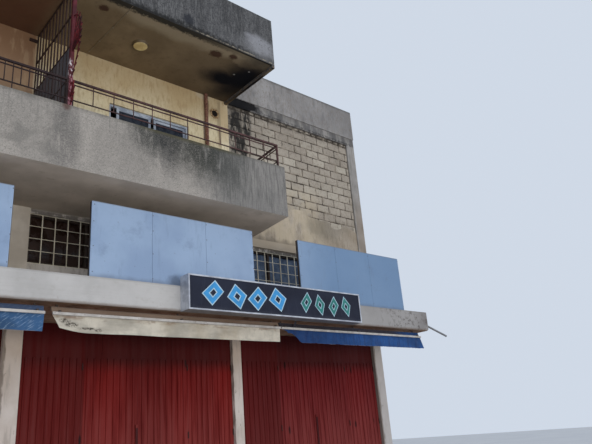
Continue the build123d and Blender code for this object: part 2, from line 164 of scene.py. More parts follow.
class AwningSettings(bpy.types.PropertyGroup):
    """Rolled awning cloths and the strips that hang behind their bars."""
    turns: IntProperty(name="Turns", description="Turns of cloth on each roll", default=3)
    cloth: metres("Cloth Thickness", "Thickness of the coated cloth", 0.0015)
    ripple: metres("Ripple", "Depth of the waves along the hem", 0.007)
    cream: swatch("Cream Cloth", "The cloth beside the sign", 206, 198, 182)
    blue: swatch("Blue Cloth", "The cloth at both ends", 22, 76, 138)
    faded_blue: swatch("Faded Blue Cloth", "The sun-bleached cloth", 56, 93, 134)


class SignSettings(bpy.types.PropertyGroup):
    """Plain raised shapes on the shop sign's face."""
    relief: metres("Relief", "How far a shape stands off the face", 0.003)
    blue: swatch("Blue Shapes", "The four larger shapes", 52, 150, 214)
    teal: swatch("Teal Shapes", "The four narrower shapes", 30, 122, 116)
    edge: swatch("Outline", "The pale line round each shape", 176, 206, 222)


class DoorSettings(bpy.types.PropertyGroup):
    """Paint and small ironwork of the folding shop doors."""
    red: swatch("Door Red", "Paint of the ribbed leaves", 124, 20, 16)
    hinge_length: metres("Hinge Length", "Length of one hinge barrel", 0.11)
    hinge_radius: metres("Hinge Radius", "Radius of one hinge barrel", 0.011)


class StageSettings(bpy.types.PropertyGroup):
    """Floor and lights."""
    floor_half: metres("Floor Half Width", "Half the width of the studio floor", 60.0)
    sky: FloatProperty(name="Room Light", description="Strength of the even light", default=0.86)
    key: watts("Key Light", "Power of the large lamp", 700.0)
    fill: watts("Fill Light", "Power of the low lamp", 790.0)


class BuildingSettings(bpy.types.PropertyGroup):
    """Everything that a user may change about the dressing."""
    blocks: PointerProperty(type=BlockWallSettings)
    plaster: PointerProperty(type=PlasterSettings)
    grilles: PointerProperty(type=GrilleSettings)
    awnings: PointerProperty(type=AwningSettings)
    sign: PointerProperty(type=SignSettings)
    doors: PointerProperty(type=DoorSettings)
    stage: PointerProperty(type=StageSettings)
    small_fittings: BoolProperty(
        name="Small Fittings", description="Adds hinges, screws and the soffit conduit",
        default=True)


class Finish:
    """One surface: a Principled shader fed by place masks, grain and stains."""

    def __init__(self, name, roughness, specular, metallic=0.0):
        self.material = bpy.data.materials.new(name)
        self.material.use_nodes = True
        self.tree = self.material.node_tree
        self.shader = self.tree.nodes["Principled BSDF"].inputs
        self.shader["Roughness"].default_value = roughness
        self.shader["Metallic"].default_value = metallic
        self.shader["Specular IOR Level"].default_value = specular
        self.place = self.add("ShaderNodeTexCoord").outputs["Object"]
        self.x, self.y, self.z = self.add("ShaderNodeSeparateXYZ", Vector=self.place).outputs
        normal = self.add("ShaderNodeNewGeometry").outputs["Normal"]
        up = self.add("ShaderNodeSeparateXYZ", Vector=normal).outputs["Z"]
        self.underside = self.rise(up, -0.5, -0.8)

    def feed(self, socket, value):
        """Links a socket, or sets a plain value. A colour may be three screen values."""
        if isinstance(value, bpy.types.NodeSocket):
            self.tree.links.new(value, socket)
        elif socket.type == "RGBA" and len(value) == 3:
            socket.default_value = linear(*value)
        else:
            socket.default_value = value

    def add(self, kind, **inputs):
        """A new node with some of its inputs fed by name."""
        made = self.tree.nodes.new(kind)
        for name, value in inputs.items():
            self.feed(made.inputs[name.replace("_", " ")], value)
        return made

    def solve(self, kind, operation, *values):
        """The outputs of one sum on values or places."""
        made = self.add(kind)
        made.operation = operation
        for socket, value in zip(made.inputs, values):
            self.feed(socket, value)
        return made.outputs

    def math(self, operation, *values):
        """One sum on values."""
        return self.solve("ShaderNodeMath", operation, *values)[0]

    def both(self, *masks):
        """Where all the masks are."""
        return reduce(partial(self.math, "MULTIPLY"), masks)

    def either(self, *masks):
        """Where any of the masks is."""
        return reduce(partial(self.math, "MAXIMUM"), masks)

    def rise(self, value, low, high, start=0.0, end=1.0):
        """Goes smoothly from start to end as the value goes from low to high."""
        made = self.add("ShaderNodeMapRange", Value=value, From_Min=low, From_Max=high,
                        To_Min=start, To_Max=end)
        made.interpolation_type = "SMOOTHSTEP"
        return made.outputs["Result"]

    def ragged(self, value, waves, amount, low, high):
        """Like rise, but the edge wanders by an amount of a noise."""
        return self.rise(self.math("ADD", value, self.math("MULTIPLY", waves, amount)), low, high)

    def within(self, value, low, high, soft):
        """1 between two values, with soft ends."""
        return self.both(self.rise(value, low - soft, low + soft),
                         self.rise(value, high + soft, high - soft))

    def grain(self, scale, stretch=(1, 1, 1), detail=4.0, rough=0.55, shift=(0, 0, 0)):
        """Cloudy noise, from 0 to 1, with this many features a metre."""
        mapped = self.add("ShaderNodeMapping", Vector=self.place, Scale=stretch, Location=shift)
        made = self.add("ShaderNodeTexNoise", Vector=mapped.outputs[0], Scale=scale,
                        Detail=detail, Roughness=rough)
        return made.outputs["Fac"]

    def runs(self, scale, shift=(0, 0, 0), length=0.12):
        """Noise drawn out downwards, as water leaves it."""
        return self.grain(scale, (1, 1, length), 5.0, 0.6, shift)

    def patch(self, centre, radii, ragged=0.6, soft=0.3, scale=5.0):
        """1 inside an ellipsoid round a place, with a torn edge."""
        moved = self.solve("ShaderNodeVectorMath", "SUBTRACT", self.place, centre)[0]
        sized = self.solve("ShaderNodeVectorMath", "DIVIDE", moved, radii)[0]
        reach = self.solve("ShaderNodeVectorMath", "LENGTH", sized)["Value"]
        torn = self.math("MULTIPLY_ADD", self.grain(scale, shift=centre), ragged, -ragged / 2)
        return self.rise(self.math("ADD", reach, torn), 1 + soft, 1 - soft)

    def off_square(self, across, along):
        """The square of how far a place lies off, from the two parts of that distance."""
        return self.math("ADD", self.both(across, across), self.both(along, along))

    def mix(self, amount, first, second):
        """The first colour, going to the second by an amount."""
        made = self.add("ShaderNodeMix")
        made.data_type = "RGBA"
        for index, value in ((0, amount), (6, first), (7, second)):
            self.feed(made.inputs[index], value)
        return made.outputs[2]

    def blend(self, clouds, first, second, low=0.35, high=0.65):
        """Two colours in the clouds of a noise."""
        return self.mix(self.rise(clouds, low, high), first, second)

    def layers(self, colour, *stains):
        """A colour under stains, each given as its mask, strength and tone."""
        for mask, strength, tone in stains:
            colour = self.mix(self.math("MULTIPLY", mask, strength), colour, tone)
        return colour

    def done(self, colour, *bumps, gloss=None):
        """Paints the surface, adds its bumps (height and depth) and its roughness (noise and
        two values), and gives the material."""
        self.feed(self.shader["Base Color"], colour)
        if gloss:
            waves, low, high = gloss
            self.feed(self.shader["Roughness"], self.rise(waves, 0.3, 0.7, low, high))
        normal = self.shader["Normal"]
        for height, depth in reversed(bumps):
            bump = self.add("ShaderNodeBump", Height=height, Distance=depth)
            self.feed(normal, bump.outputs[0])
            normal = bump.inputs["Normal"]
        return self.material

    def rough(self, colour, coarse=0.006, fine=0.002):
        """A cast or rendered wall: its colour, slow waves and sharp grit."""
        return self.done(colour, (self.grain(3.0, detail=3.0), coarse),
                         (self.grain(70.0, detail=5.0, rough=0.7), fine))


def roof_concrete():
    """Dark cast concrete, sooty and mouldy along its edges, with brown paint underneath and a
    painted shadow line along the soffit's front edge.
    """
    f = Finish("dark_roof_concrete", 0.95, 0.15)
    mottle = f.grain(16.0, detail=8.0, rough=0.75)
    speck = f.grain(60.0, (1, 1, 0.7), 5.0, 0.8, (0, 4, 0))
    torn = f.grain(13.0, detail=7.0, rough=0.7, shift=(2, 0, 0))
    broken = f.rise(torn, 0.56, 0.47)
    pale = f.patch((3.87, FASCIA_FACE, 9.20), (0.36, 0.5, 0.21), 1.3, 0.45, 6.0)
    smudge = f.patch((2.17, FASCIA_FACE, 9.07), (0.11, 0.4, 0.12), 1.4, 0.4, 14.0)
    low = f.ragged(f.z, torn, 0.40, 9.22, 9.08)
    strip = f.both(f.ragged(f.z, f.grain(20.0, detail=6.0), 0.07, 8.945, 8.930),
                   f.rise(f.z, 8.872, 8.880), f.rise(f.x, 1.9, 2.6), broken)
    lip = f.both(f.rise(f.z, 8.856, 8.852), f.rise(mottle, 0.42, 0.55), broken)
    face = f.layers(
        f.blend(f.runs(4.0), (77, 77, 78), (98, 98, 99), 0.36, 0.64),
        (f.rise(mottle, 0.46, 0.62), 0.65, (58, 59, 61)),
        (f.rise(speck, 0.51, 0.61), 0.7, (40, 40, 42)),
        (f.rise(speck, 0.44, 0.34), 0.45, (142, 140, 136)),
        (f.rise(f.runs(34.0, (3, 1, 0), 0.16), 0.5, 0.66), 0.4, (126, 126, 126)),
        (f.rise(f.runs(40.0, (6, 0, 2), 0.12), 0.5, 0.66), 0.5, (56, 57, 60)),
        (f.both(pale, f.rise(mottle, 0.3, 0.5)), 0.75, (154, 155, 160)),
        (f.both(f.rise(f.x, 2.6, 3.6), f.rise(f.z, 9.35, 9.0)), 0.35, (122, 122, 124)),
        (smudge, 0.85, (44, 46, 52)),
        (f.both(low, f.rise(f.x, 4.0, 3.1, 0.35, 1.0)), 0.9, (34, 34, 34)),
        (strip, 0.75, (148, 140, 124)),
        (lip, 0.7, (132, 112, 92)))

    band = f.both(f.ragged(f.y, f.grain(1.3, shift=(0, 3, 0)), 0.55, -1.02, -1.27),
                  f.rise(f.x, 0.2, 1.3))
    beige = f.patch((3.72, -1.43, OVERHANG), (0.26, 0.12, 0.3), 1.4, 0.4, 9.0)
    mould = f.both(f.ragged(f.y, torn, 0.24, -1.45, -1.53), f.rise(f.x, 3.6, 2.3, 0.3, 1.0))
    marks = [(f.patch((x, y, OVERHANG), (radius, radius * 0.8, 0.3), 1.5, 0.35, 14.0), 0.9,
              (66, 42, 32))
             for x, y, radius in ((2.995, -1.40, 0.13), (3.33, -1.507, 0.09), (0.67, -1.40, 0.09),
                                  (-2.6, -1.1, 0.12), (-1.3, -0.6, 0.09))]
    soot = f.either(f.patch((3.95, -0.95, OVERHANG), (0.42, 0.80, 0.4), 0.6, 0.7, 3.0),
                    f.patch((3.66, -0.76, OVERHANG), (0.50, 0.26, 0.4), 0.6, 0.6, 3.0))
    nicks = [(f.patch((x, y, OVERHANG), (0.022, 0.02, 0.3), 0.5, 0.4, 40.0), 0.6, (170, 168, 164))
             for x, y in ((3.703, -1.017), (3.909, -1.268))]
    soffit = f.layers(
        f.blend(f.grain(1.2, detail=5.0), (118, 100, 75), (138, 118, 90)),
        (f.rise(f.x, 1.4, 3.6), 0.6, (84, 72, 58)),
        (f.rise(f.x, 0.3, -0.2), 0.85, (98, 62, 44)),
        (f.rise(f.grain(9.0, detail=8.0, rough=0.75), 0.5, 0.7), 0.35, (74, 60, 46)),
        (band, 0.75, (158, 143, 118)),
        (beige, 0.7, (158, 138, 110)),
        # painted shadow: the dark line along the soffit's front edge is the drip's shadow; the
        # ragged front band to the left is mould
        (f.either(mould, f.rise(f.y, -1.69, -1.71)), 0.92, (34, 33, 31)),
        *marks, (soot, 0.99, (7, 9, 18)), *nicks)
    return f.rough(f.mix(f.underside, face, soffit), 0.012, 0.005)


def balcony_render():
    """Rough speckled grey render, black and green where rain runs over its top edge."""
    f = Finish("streaked_balcony_render", 0.95, 0.2)
    thin = f.runs(30.0, (4, 0, 0), 0.09)
    mottle = f.grain(12.0, detail=8.0, rough=0.75)
    speck = f.grain(52.0, detail=5.0, rough=0.8, shift=(0, 1, 0))
    drop = f.math("SUBTRACT", PARAPET_TOP, f.z)
    grey = f.ragged(f.x, mottle, 0.8, 2.5, 3.3)
    clouds = f.rise(f.grain(2.4, shift=(3, 0, 0), detail=6.0), 0.5, 0.66)
    rim = f.ragged(drop, mottle, 0.10, 0.13, 0.06)
    foot = f.patch((-0.005, PARAPET_FACE, 6.50), (0.06, 0.3, 0.06), 0.8, 0.5, 14.0)
    runs = f.both(f.rise(f.runs(9.0, (1, 0, 0), 0.2), 0.24, 0.50),
                  f.rise(speck, 0.34, 0.56, 0.55, 1.0))
    streaks = [(f.both(f.patch((x, PARAPET_FACE, z), (wide, 0.5, high), 1.0, 0.6, 7.0), runs),
                strength, tone)
               for x, z, wide, high, strength, tone in (
                   (-0.02, 6.06, 0.18, 0.60, 0.60, (84, 83, 82)),
                   (0.16, 5.85, 0.10, 0.28, 0.35, (92, 90, 88)),
                   (2.10, 6.30, 0.95, 0.55, 0.40, (84, 84, 80)),
                   (1.36, 6.45, 0.30, 0.34, 0.88, (54, 56, 54)),
                   (1.72, 6.45, 0.22, 0.50, 0.85, (48, 49, 50)),
                   (2.36, 6.42, 0.52, 0.46, 0.90, (48, 50, 46)),
                   (2.95, 6.30, 0.35, 0.62, 0.55, (66, 68, 66)),
                   (-2.3, 6.40, 0.55, 0.45, 0.80, (60, 62, 58)))]
    face = f.layers(
        f.blend(f.grain(1.3, detail=5.0), (149, 144, 138), (164, 158, 151), 0.38, 0.62),
        (f.rise(mottle, 0.5, 0.75), 0.5, (118, 114, 108)),
        (f.rise(speck, 0.51, 0.63), 0.6, (100, 98, 94)),
        (f.rise(speck, 0.46, 0.34), 0.3, (204, 198, 188)),
        (grey, 0.6, (112, 112, 112)),
        (f.both(grey, f.rise(thin, 0.45, 0.62)), 0.5, (80, 80, 78)),
        (f.both(grey, f.rise(f.runs(26.0, (9, 0, 0), 0.08), 0.55, 0.7)), 0.4, (150, 148, 142)),
        (f.both(f.rise(thin, 0.48, 0.68), f.rise(drop, 0.8, 0.0)), 0.4, (104, 102, 98)),
        (f.both(clouds, f.rise(f.x, 0.1, -0.3)), 0.5, (108, 106, 102)),
        *streaks,
        (f.both(rim, f.rise(mottle, 0.3, 0.55)), 0.5, (90, 88, 80)),
        (f.both(rim, f.within(f.x, 1.2, 3.1, 0.3)), 0.6, (74, 70, 46)),
        (foot, 0.7, (84, 56, 50)))
    under = f.layers(
        f.blend(f.grain(1.6, detail=5.0), (174, 161, 147), (194, 180, 165)),
        (f.rise(f.grain(5.0, shift=(0, 2, 5)), 0.6, 0.75), 0.3, (124, 112, 100)))
    return f.rough(f.mix(f.underside, face, under), 0.010, 0.008)


def old_paint(f, light, dark, streak, seed):
    """Old painted plaster: cloudy paint, thin runs from above and grey wear."""
    return f.layers(
        f.blend(f.grain(1.4, detail=6.0, shift=(seed, 0, 0)), light, dark, 0.36, 0.64),
        (f.rise(f.runs(16.0, (seed, 2, 0), 0.25), 0.47, 0.66), 0.5, streak),
        (f.rise(f.grain(30.0, (1, 1, 0.5), 7.0, 0.8), 0.5, 0.66), 0.45, streak))


def flat_paint(f, colour):
    """The flats' paint: darker and browner near the soffit, as painted shade under the roof with
    brown runs in it, and pinkish brown on the left flat, also darker towards the soffit as painted
    shade.
    """
    # painted shade with brown runs: the paint darkens towards the roof soffit
    high = f.ragged(f.z, f.runs(6.0, (2, 0, 0), 0.1), 0.5, 7.9, 8.95)
    bare = f.rise(f.runs(5.0, (1, 0, 4), 0.25), 0.5, 0.6)
    # painted shade: the left flat's pink is darker towards the soffit
    pink = f.mix(f.rise(f.z, 8.75, 7.6), (134, 102, 76), (153, 126, 101))
    return f.mix(f.rise(f.x, 0.06, 0.0), f.layers(colour, (high, 0.55, (168, 138, 94))),
                 f.layers(pink, (bare, 0.4, (180, 154, 122))))


def yellow_plaster():
    """Faded yellow paint on the flats' own wall."""
    f = Finish("yellow_flat_plaster", 0.9, 0.2)
    colour = old_paint(f, (222, 212, 180), (206, 190, 154), (160, 136, 102), 3)
    edge = f.patch((4.03, 0.0, 8.2), (0.10, 0.3, 0.75), 1.4, 0.4, 9.0)
    smear = f.patch((3.60, 0.0, 8.81), (0.20, 0.3, 0.07), 1.0, 0.3, 12.0)
    drip = f.patch((3.70, 0.0, 8.60), (0.035, 0.3, 0.26), 1.0, 0.4, 12.0)
    hole = f.patch(WALL_HOLE, (0.14, 0.3, 0.14), 0.8, 0.35, 16.0)
    return f.rough(f.layers(flat_paint(f, colour), (edge, 0.5, (122, 104, 80)),
                            (smear, 0.8, (190, 176, 150)), (drip, 0.7, (104, 82, 60)),
                            (hole, 0.5, (134, 116, 88))), 0.005, 0.0015)


def cream_plaster():
    """Cream paint on the wall over the shops."""
    f = Finish("cream_shop_plaster", 0.9, 0.2)
    low = f.ragged(f.z, f.grain(4.0), 0.2, 4.35, 3.95)
    # painted shade: a dark patchy band at the top of the wall, under the balcony slab
    under = f.both(f.within(f.z, 5.38, 5.52, 0.03), f.rise(f.grain(9.0), 0.3, 0.5))
    return f.rough(f.layers(
        old_paint(f, (212, 206, 200), (194, 187, 178), (146, 136, 124), 8),
        (low, 0.45, (132, 124, 112)), (under, 0.75, (60, 53, 46))), 0.004, 0.0015)


def frame_concrete():
    """Cast floors and upper columns, painted like the walls that they join."""
    f = Finish("frame_concrete", 0.93, 0.2)
    clouds = f.grain(1.8, detail=6.0)
    side = f.math("ABSOLUTE", f.x)
    brown = f.both(f.rise(side, 8.12, 8.2), f.rise(f.math("ADD", f.z, clouds), 8.1, 7.1))
    beam = f.both(f.within(f.z, 8.86, 9.07, 0.02), f.rise(f.runs(4.0, (6, 0, 0), 0.3), 0.36, 0.6))
    # painted shade: a dark patchy band where the columns meet the roof slab
    under = f.both(f.within(f.z, 8.84, 8.92, 0.02),
                   f.rise(f.grain(12.0, shift=(2, 0, 1)), 0.42, 0.55))
    bare = f.layers(
        f.blend(clouds, (162, 158, 154), (140, 136, 131)),
        (f.rise(f.runs(12.0, (1, 0, 0), 0.15), 0.5, 0.68), 0.5, (100, 96, 90)),
        (f.rise(f.grain(30.0, detail=6.0, rough=0.75), 0.55, 0.7), 0.35, (92, 88, 82)),
        (brown, 0.4, (140, 120, 98)),
        (beam, 0.7, (66, 66, 68)),
        (under, 0.6, (48, 46, 46)),
        (f.patch((4.60, 0.0, 8.97), (0.55, 0.2, 0.15), 1.0, 0.25, 9.0), 0.97, (17, 17, 20)))
    flats = f.both(f.rise(side, 4.26, 4.24), f.rise(f.z, 5.60, 5.62), f.rise(f.z, 8.86, 8.85),
                   f.rise(f.y, 0.6, 0.5))
    yellow = f.layers(f.blend(clouds, (226, 214, 184), (206, 190, 158), 0.36, 0.64),
                      (f.rise(f.runs(12.0, (4, 0, 0), 0.25), 0.5, 0.68), 0.5, (150, 130, 102)))
    shops = f.both(f.rise(f.z, 5.72, 5.68), f.rise(f.z, 3.6, 3.62), f.rise(f.y, 0.3, 0.2))
    ledge = f.both(f.rise(f.x, 4.1, 4.2), f.rise(f.z, 5.44, 5.5))
    cream = f.layers(f.blend(clouds, (212, 203, 190), (190, 180, 166), 0.36, 0.64),
                     (ledge, 0.8, (158, 144, 125)))
    return f.rough(f.mix(shops, f.mix(flats, bare, flat_paint(f, yellow)), cream), 0.006, 0.003)


def column_paint():
    """Limewashed shop columns with bare edges and dark drips."""
    f = Finish("shop_column_paint", 0.9, 0.2)
    shift = 2 * BAY_PITCH - BAYS[1][1]
    across = f.math("MODULO", f.math("ADD", f.x, shift), BAY_PITCH)
    edge = f.ragged(across, f.grain(9.0, (1, 1, 0.5)), 0.10, 0.105, 0.075)
    chips = f.rise(f.grain(11.0, (1, 1, 0.6), 6.0, 0.7, (0, 0, 4)), 0.64, 0.68)
    return f.rough(f.layers(
        f.blend(f.grain(2.2, detail=6.0, shift=(2, 0, 0)), (218, 208, 200), (202, 190, 180),
                0.36, 0.64),
        (f.rise(f.z, 2.2, 3.3), 0.45, (190, 168, 142)),
        (f.rise(f.x, 7.6, 8.1), 0.5, (168, 170, 172)),
        (f.rise(f.runs(16.0, (5, 0, 0), 0.12), 0.52, 0.7), 0.45, (150, 140, 128)),
        (edge, 0.7, (104, 92, 80)),
        (chips, 0.6, (122, 108, 94))), 0.005, 0.002)


def side_render():
    """Grey render of the parapets and party walls, finely mottled with thin dark runs."""
    f = Finish("parapet_render", 0.93, 0.2)
    clouds = f.grain(1.1, detail=6.0)
    far = f.both(f.rise(f.x, 5.2, 8.6), f.rise(f.z, 8.9, 9.2))
    mottle = f.rise(f.grain(24.0, (1, 1, 0.6), 7.0, 0.75, (2, 0, 1)), 0.48, 0.64)
    return f.rough(f.layers(
        f.blend(clouds, (160, 157, 155), (142, 139, 137), 0.36, 0.64),
        (f.rise(f.runs(8.0, (1, 0, 3), 0.25), 0.5, 0.66), 0.5, (104, 103, 104)),
        (far, 0.5, (112, 110, 109)),
        (mottle, 0.55, (122, 110, 99)),
        (f.rise(f.runs(34.0, (2, 0, 1), 0.12), 0.54, 0.7), 0.35, (168, 164, 160)),
        (f.ragged(f.z, clouds, 0.12, 9.90, 9.98), 0.6, (76, 75, 74)),
        (f.ragged(f.z, clouds, 0.5, 1.4, 0.4), 0.5, (128, 118, 102))), 0.008, 0.004)


def block_face(bedding):
    """Bare concrete blocks, or the dark mortar bed that shows in their joints."""
    f = Finish("block_joints" if bedding else "concrete_blocks", 0.96, 0.15)
    grit = f.grain(55.0, detail=6.0, rough=0.75)
    if bedding:
        colour = f.blend(f.grain(7.0, detail=7.0, rough=0.7), (72, 64, 57), (138, 128, 114),
                         0.44, 0.6)
    else:
        tone = f.add("ShaderNodeAttribute")
        tone.attribute_name = "block_tone"
        coarse = f.grain(19.0, detail=7.0, rough=0.7, shift=(1, 2, 0))
        warm = f.both(f.rise(f.z, 7.4, 6.9), f.rise(f.x, 7.2, 6.5),
                      f.rise(f.grain(2.6, detail=5.0, shift=(4, 0, 2)), 0.36, 0.56))
        low = f.both(f.within(f.z, 6.9, 8.0, 0.35), f.rise(f.x, 4.6, 5.2),
                     f.rise(f.x, 6.4, 5.6, 0.3, 1.0))
        colour = f.layers(
            f.blend(f.grain(1.2, detail=4.0), (169, 159, 146), (152, 143, 131)),
            (tone.outputs["Fac"], 0.5, (198, 190, 174)),
            (f.rise(coarse, 0.48, 0.66), 0.6, (118, 107, 95)),
            (f.rise(grit, 0.5, 0.7), 0.45, (104, 95, 85)),
            (warm, 0.5, (190, 175, 150)),
            (low, 0.45, (194, 186, 172)))
    dark = f.either(f.patch((4.47, 0.03, 8.20), (0.20, 0.4, 0.72), 1.2, 0.4, 6.0),
                    f.patch((4.78, 0.03, 8.50), (0.12, 0.4, 0.40), 1.3, 0.4, 7.0),
                    f.patch((4.66, 0.03, 7.85), (0.10, 0.4, 0.40), 1.3, 0.4, 8.0))
    # painted shade: blocks and joints are darker just under the roof slab
    top = f.both(f.rise(f.z, 8.66, 8.84), f.rise(f.grain(9.0, shift=(1, 0, 0)), 0.38, 0.55))
    return f.done(f.layers(
        colour,
        (f.both(dark, f.rise(f.runs(12.0, (3, 0, 0), 0.35), 0.32, 0.5)), 0.93, (30, 30, 31)),
        (top, 0.7, (62, 56, 50))), (f.grain(16.0, detail=4.0), 0.008), (grit, 0.006))


def smeared_plaster():
    """The thin beige coat trowelled over the lowest blocks."""
    f = Finish("smeared_plaster", 0.9, 0.2)
    cream = f.both(f.rise(f.x, 7.2, 6.4), f.rise(f.runs(3.0, (2, 0, 1), 0.5), 0.34, 0.54))
    green = f.patch((7.1, 0.03, 6.35), (0.7, 0.4, 0.3), 1.4, 0.5, 5.0)
    return f.rough(f.layers(
        old_paint(f, (178, 167, 153), (160, 148, 132), (122, 110, 95), 5),
        (cream, 0.6, (199, 184, 159)),
        (green, 0.45, (104, 100, 88)),
        # painted shade: darker along the foot of the coat, just above the balcony floor
        (f.ragged(f.z, f.grain(5.0), 0.3, 5.98, 5.84), 0.5, (92, 84, 74)),
        (f.rise(f.x, 7.0, 8.2), 0.4, (140, 126, 108))), 0.012, 0.004)


def canopy_concrete():
    """Off-white cast canopy, mottled at its end, brown and rusty below."""
    f = Finish("canopy_concrete", 0.92, 0.2)
    clouds = f.grain(1.5, detail=6.0)
    boards = f.grain(1.0, (1.2, 1.2, 34.0), 3.0, 0.5)
    mottle = f.rise(f.grain(6.0, (1, 1, 1.4), 7.0, 0.7, (2, 0, 0)), 0.54, 0.7)
    spots = f.both(f.rise(f.grain(8.0, detail=8.0, rough=0.75, shift=(3, 0, 1)), 0.5, 0.64),
                   f.rise(f.x, 6.4, 7.8))
    end = f.both(f.rise(f.x, 7.9, 8.5), f.rise(f.grain(3.0), 0.3, 0.6))
    rust = f.both(f.rise(f.grain(12.0, detail=4.0, shift=(8, 0, 0)), 0.66, 0.7),
                  f.rise(f.z, 3.70, 3.62, 0.1, 1.0))
    edge = f.layers(
        f.blend(clouds, (189, 187, 185), (174, 172, 170), 0.36, 0.64),
        (f.rise(boards, 0.5, 0.66), 0.15, (166, 163, 158)),
        (mottle, 0.35, (160, 155, 148)),
        (f.rise(f.math("ADD", f.x, clouds), 5.0, 6.8), 0.6, (132, 129, 128)),
        (spots, 0.85, (80, 71, 68)),
        (end, 0.5, (98, 92, 92)),
        (rust, 0.5, (120, 82, 58)),
        (f.ragged(f.z, f.grain(8.0), 0.05, 3.685, 3.645), 0.45, (132, 108, 88)),
        (f.rise(f.z, 3.99, 4.03), 0.35, (126, 124, 120)))
    rusty = f.rise(f.grain(4.0, (1, 1.6, 1), 6.0, 0.7, (4, 0, 0)), 0.5, 0.64)
    under = f.layers(
        f.blend(f.grain(2.4, detail=6.0), (150, 122, 98), (124, 98, 78)),
        (rusty, 0.7, (108, 70, 46)),
        (f.rise(f.grain(3.0, shift=(1, 6, 0)), 0.56, 0.7), 0.6, (56, 46, 40)))
    lower = f.both(f.underside, f.rise(f.y, -1.45, -1.43))
    return f.done(f.mix(lower, edge, under), (boards, 0.003),
                  (f.grain(60.0, detail=5.0, rough=0.7), 0.003))


def door_red(paint):
    """Dark red door paint: darker above as painted shade under the canopy, dusty pink below, thin
    runs down each rib.
    """
    f = Finish("dusty_red_doors", 0.62, 0.2)
    runs = f.runs(16.0, (2, 0, 0), 0.05)
    leaves = f.rise(f.z, 3.04, 2.92, 0.2, 1.0)
    thin = f.rise(f.runs(40.0, (1, 0, 0), 0.04), 0.54, 0.7)
    fresher = f.either(f.within(f.x, 0.1, 1.15, 0.01), f.within(f.x, 4.2, 5.22, 0.01))
    rust = f.both(f.rise(f.grain(18.0, (1, 1, 0.4), 6.0, 0.7), 0.6, 0.68), f.rise(f.z, 1.2, 0.2))
    marks = [(f.patch((x, 0.0, z), (0.02, 0.3, 0.07), 0.7, 0.4, 20.0), 0.8, (34, 10, 10))
             for x, z in ((5.39, 3.01), (5.40, 1.73), (7.355, 2.92), (7.33, 1.75), (7.94, 1.80),
                          (3.03, 3.02), (1.115, 1.83))]
    lock_bars = f.both(f.rise(f.y, -0.019, -0.022), f.rise(f.z, 1.96, 1.94))
    colour = f.layers(
        f.blend(f.grain(1.0, (1.1, 1, 0.03), 0.0, 0.5, (6, 0, 0)), paint, (104, 14, 12)),
        (f.rise(f.x, 4.0, 4.3), 0.45, (98, 16, 26)),
        # painted shade: the tops of the leaves and the transoms are darker, as under the canopy
        (f.rise(f.z, 2.80, 3.10), 0.8, (54, 8, 7)),
        (f.ragged(f.z, runs, 1.8, 3.8, 1.8), 0.6, (138, 66, 62)),
        (f.both(leaves, f.rise(runs, 0.5, 0.64)), 0.35, (58, 8, 9)),
        (f.both(leaves, thin), 0.3, (140, 54, 46)),
        (fresher, 0.65, (80, 11, 9)),
        (rust, 0.6, (78, 40, 26)),
        *marks, (lock_bars, 0.75, (36, 10, 13)))
    return f.done(colour, (f.grain(2.5, (1, 1, 0.4), 2.0), 0.006),
                  (f.grain(120.0, (1, 1, 0.3)), 0.0006), gloss=(runs, 0.55, 0.85))


def panel_blue():
    """Matt pale blue sheet steel, a little wavy, with smudges and a dirty foot."""
    f = Finish("pale_blue_sheet", 0.55, 0.25)
    clouds = f.grain(0.9, detail=4.0, shift=(2, 0, 0))
    smudge = f.rise(f.grain(2.2, detail=7.0, rough=0.7, shift=(1, 0, 5)), 0.54, 0.72)
    corner = f.patch((1.98, PANEL_FACE, 4.10), (0.12, 0.3, 0.09), 1.2, 0.5, 8.0)
    specks = f.rise(f.grain(26.0, detail=2.0, shift=(0, 0, 9)), 0.73, 0.76)
    colour = f.layers(
        f.blend(clouds, (148, 169, 196), (135, 156, 185), 0.36, 0.64),
        (f.rise(f.x, 3.8, 5.6), 0.8, (103, 132, 165)),
        (smudge, 0.4, (102, 120, 146)),
        (f.rise(f.runs(9.0, (6, 0, 0), 0.2), 0.56, 0.72), 0.3, (112, 130, 154)),
        (f.ragged(f.z, f.grain(5.0), 0.1, 4.16, 4.06), 0.5, (90, 98, 112)),
        (corner, 0.6, (60, 68, 84)),
        (f.rise(f.z, 5.185, 5.2), 0.5, (108, 112, 120)),
        (specks, 0.4, (96, 80, 76)))
    return f.done(colour, (f.grain(1.6, (1, 1, 0.8), 1.0), 0.02), (f.grain(90.0), 0.0004),
                  gloss=(clouds, 0.5, 0.7))


# Paint, worn paint, rust and where chips begin, for each kind of painted steel
STEELS = {
    "maroon_railing": ((84, 58, 57), (58, 42, 42), (108, 82, 72), 0.6),
    "partition_paint": ((58, 40, 34), (42, 29, 26), (92, 62, 46), 0.6),
    "red_spikes": ((108, 27, 34), (70, 14, 22), (130, 76, 82), 0.6),
    "pale_awning_bars": ((194, 190, 185), (168, 163, 157), (112, 84, 70), 0.6),
    "dark_panel_posts": ((70, 62, 58), (52, 46, 44), (112, 70, 48), 0.6),
    # The strip window frames are dark brown as painted shade: cream frames in the shadow behind the
    # grilles
    "painted_shade_window_steel": ((62, 50, 42), (46, 38, 34), (104, 80, 60), 0.64),
    "brown_pipe": ((116, 76, 66), (96, 60, 52), (142, 110, 86), 0.5),
    "cream_grille": ((230, 222, 202), (208, 198, 176), (136, 106, 82), 0.66),
    "dark_hinges": ((62, 30, 28), (46, 26, 24), (100, 62, 42), 0.6),
    "worn_hasps": ((96, 92, 88), (72, 66, 62), (120, 78, 52), 0.56),
    "panel_screw_steel": ((112, 118, 128), (92, 92, 96), (110, 66, 44), 0.54),
}


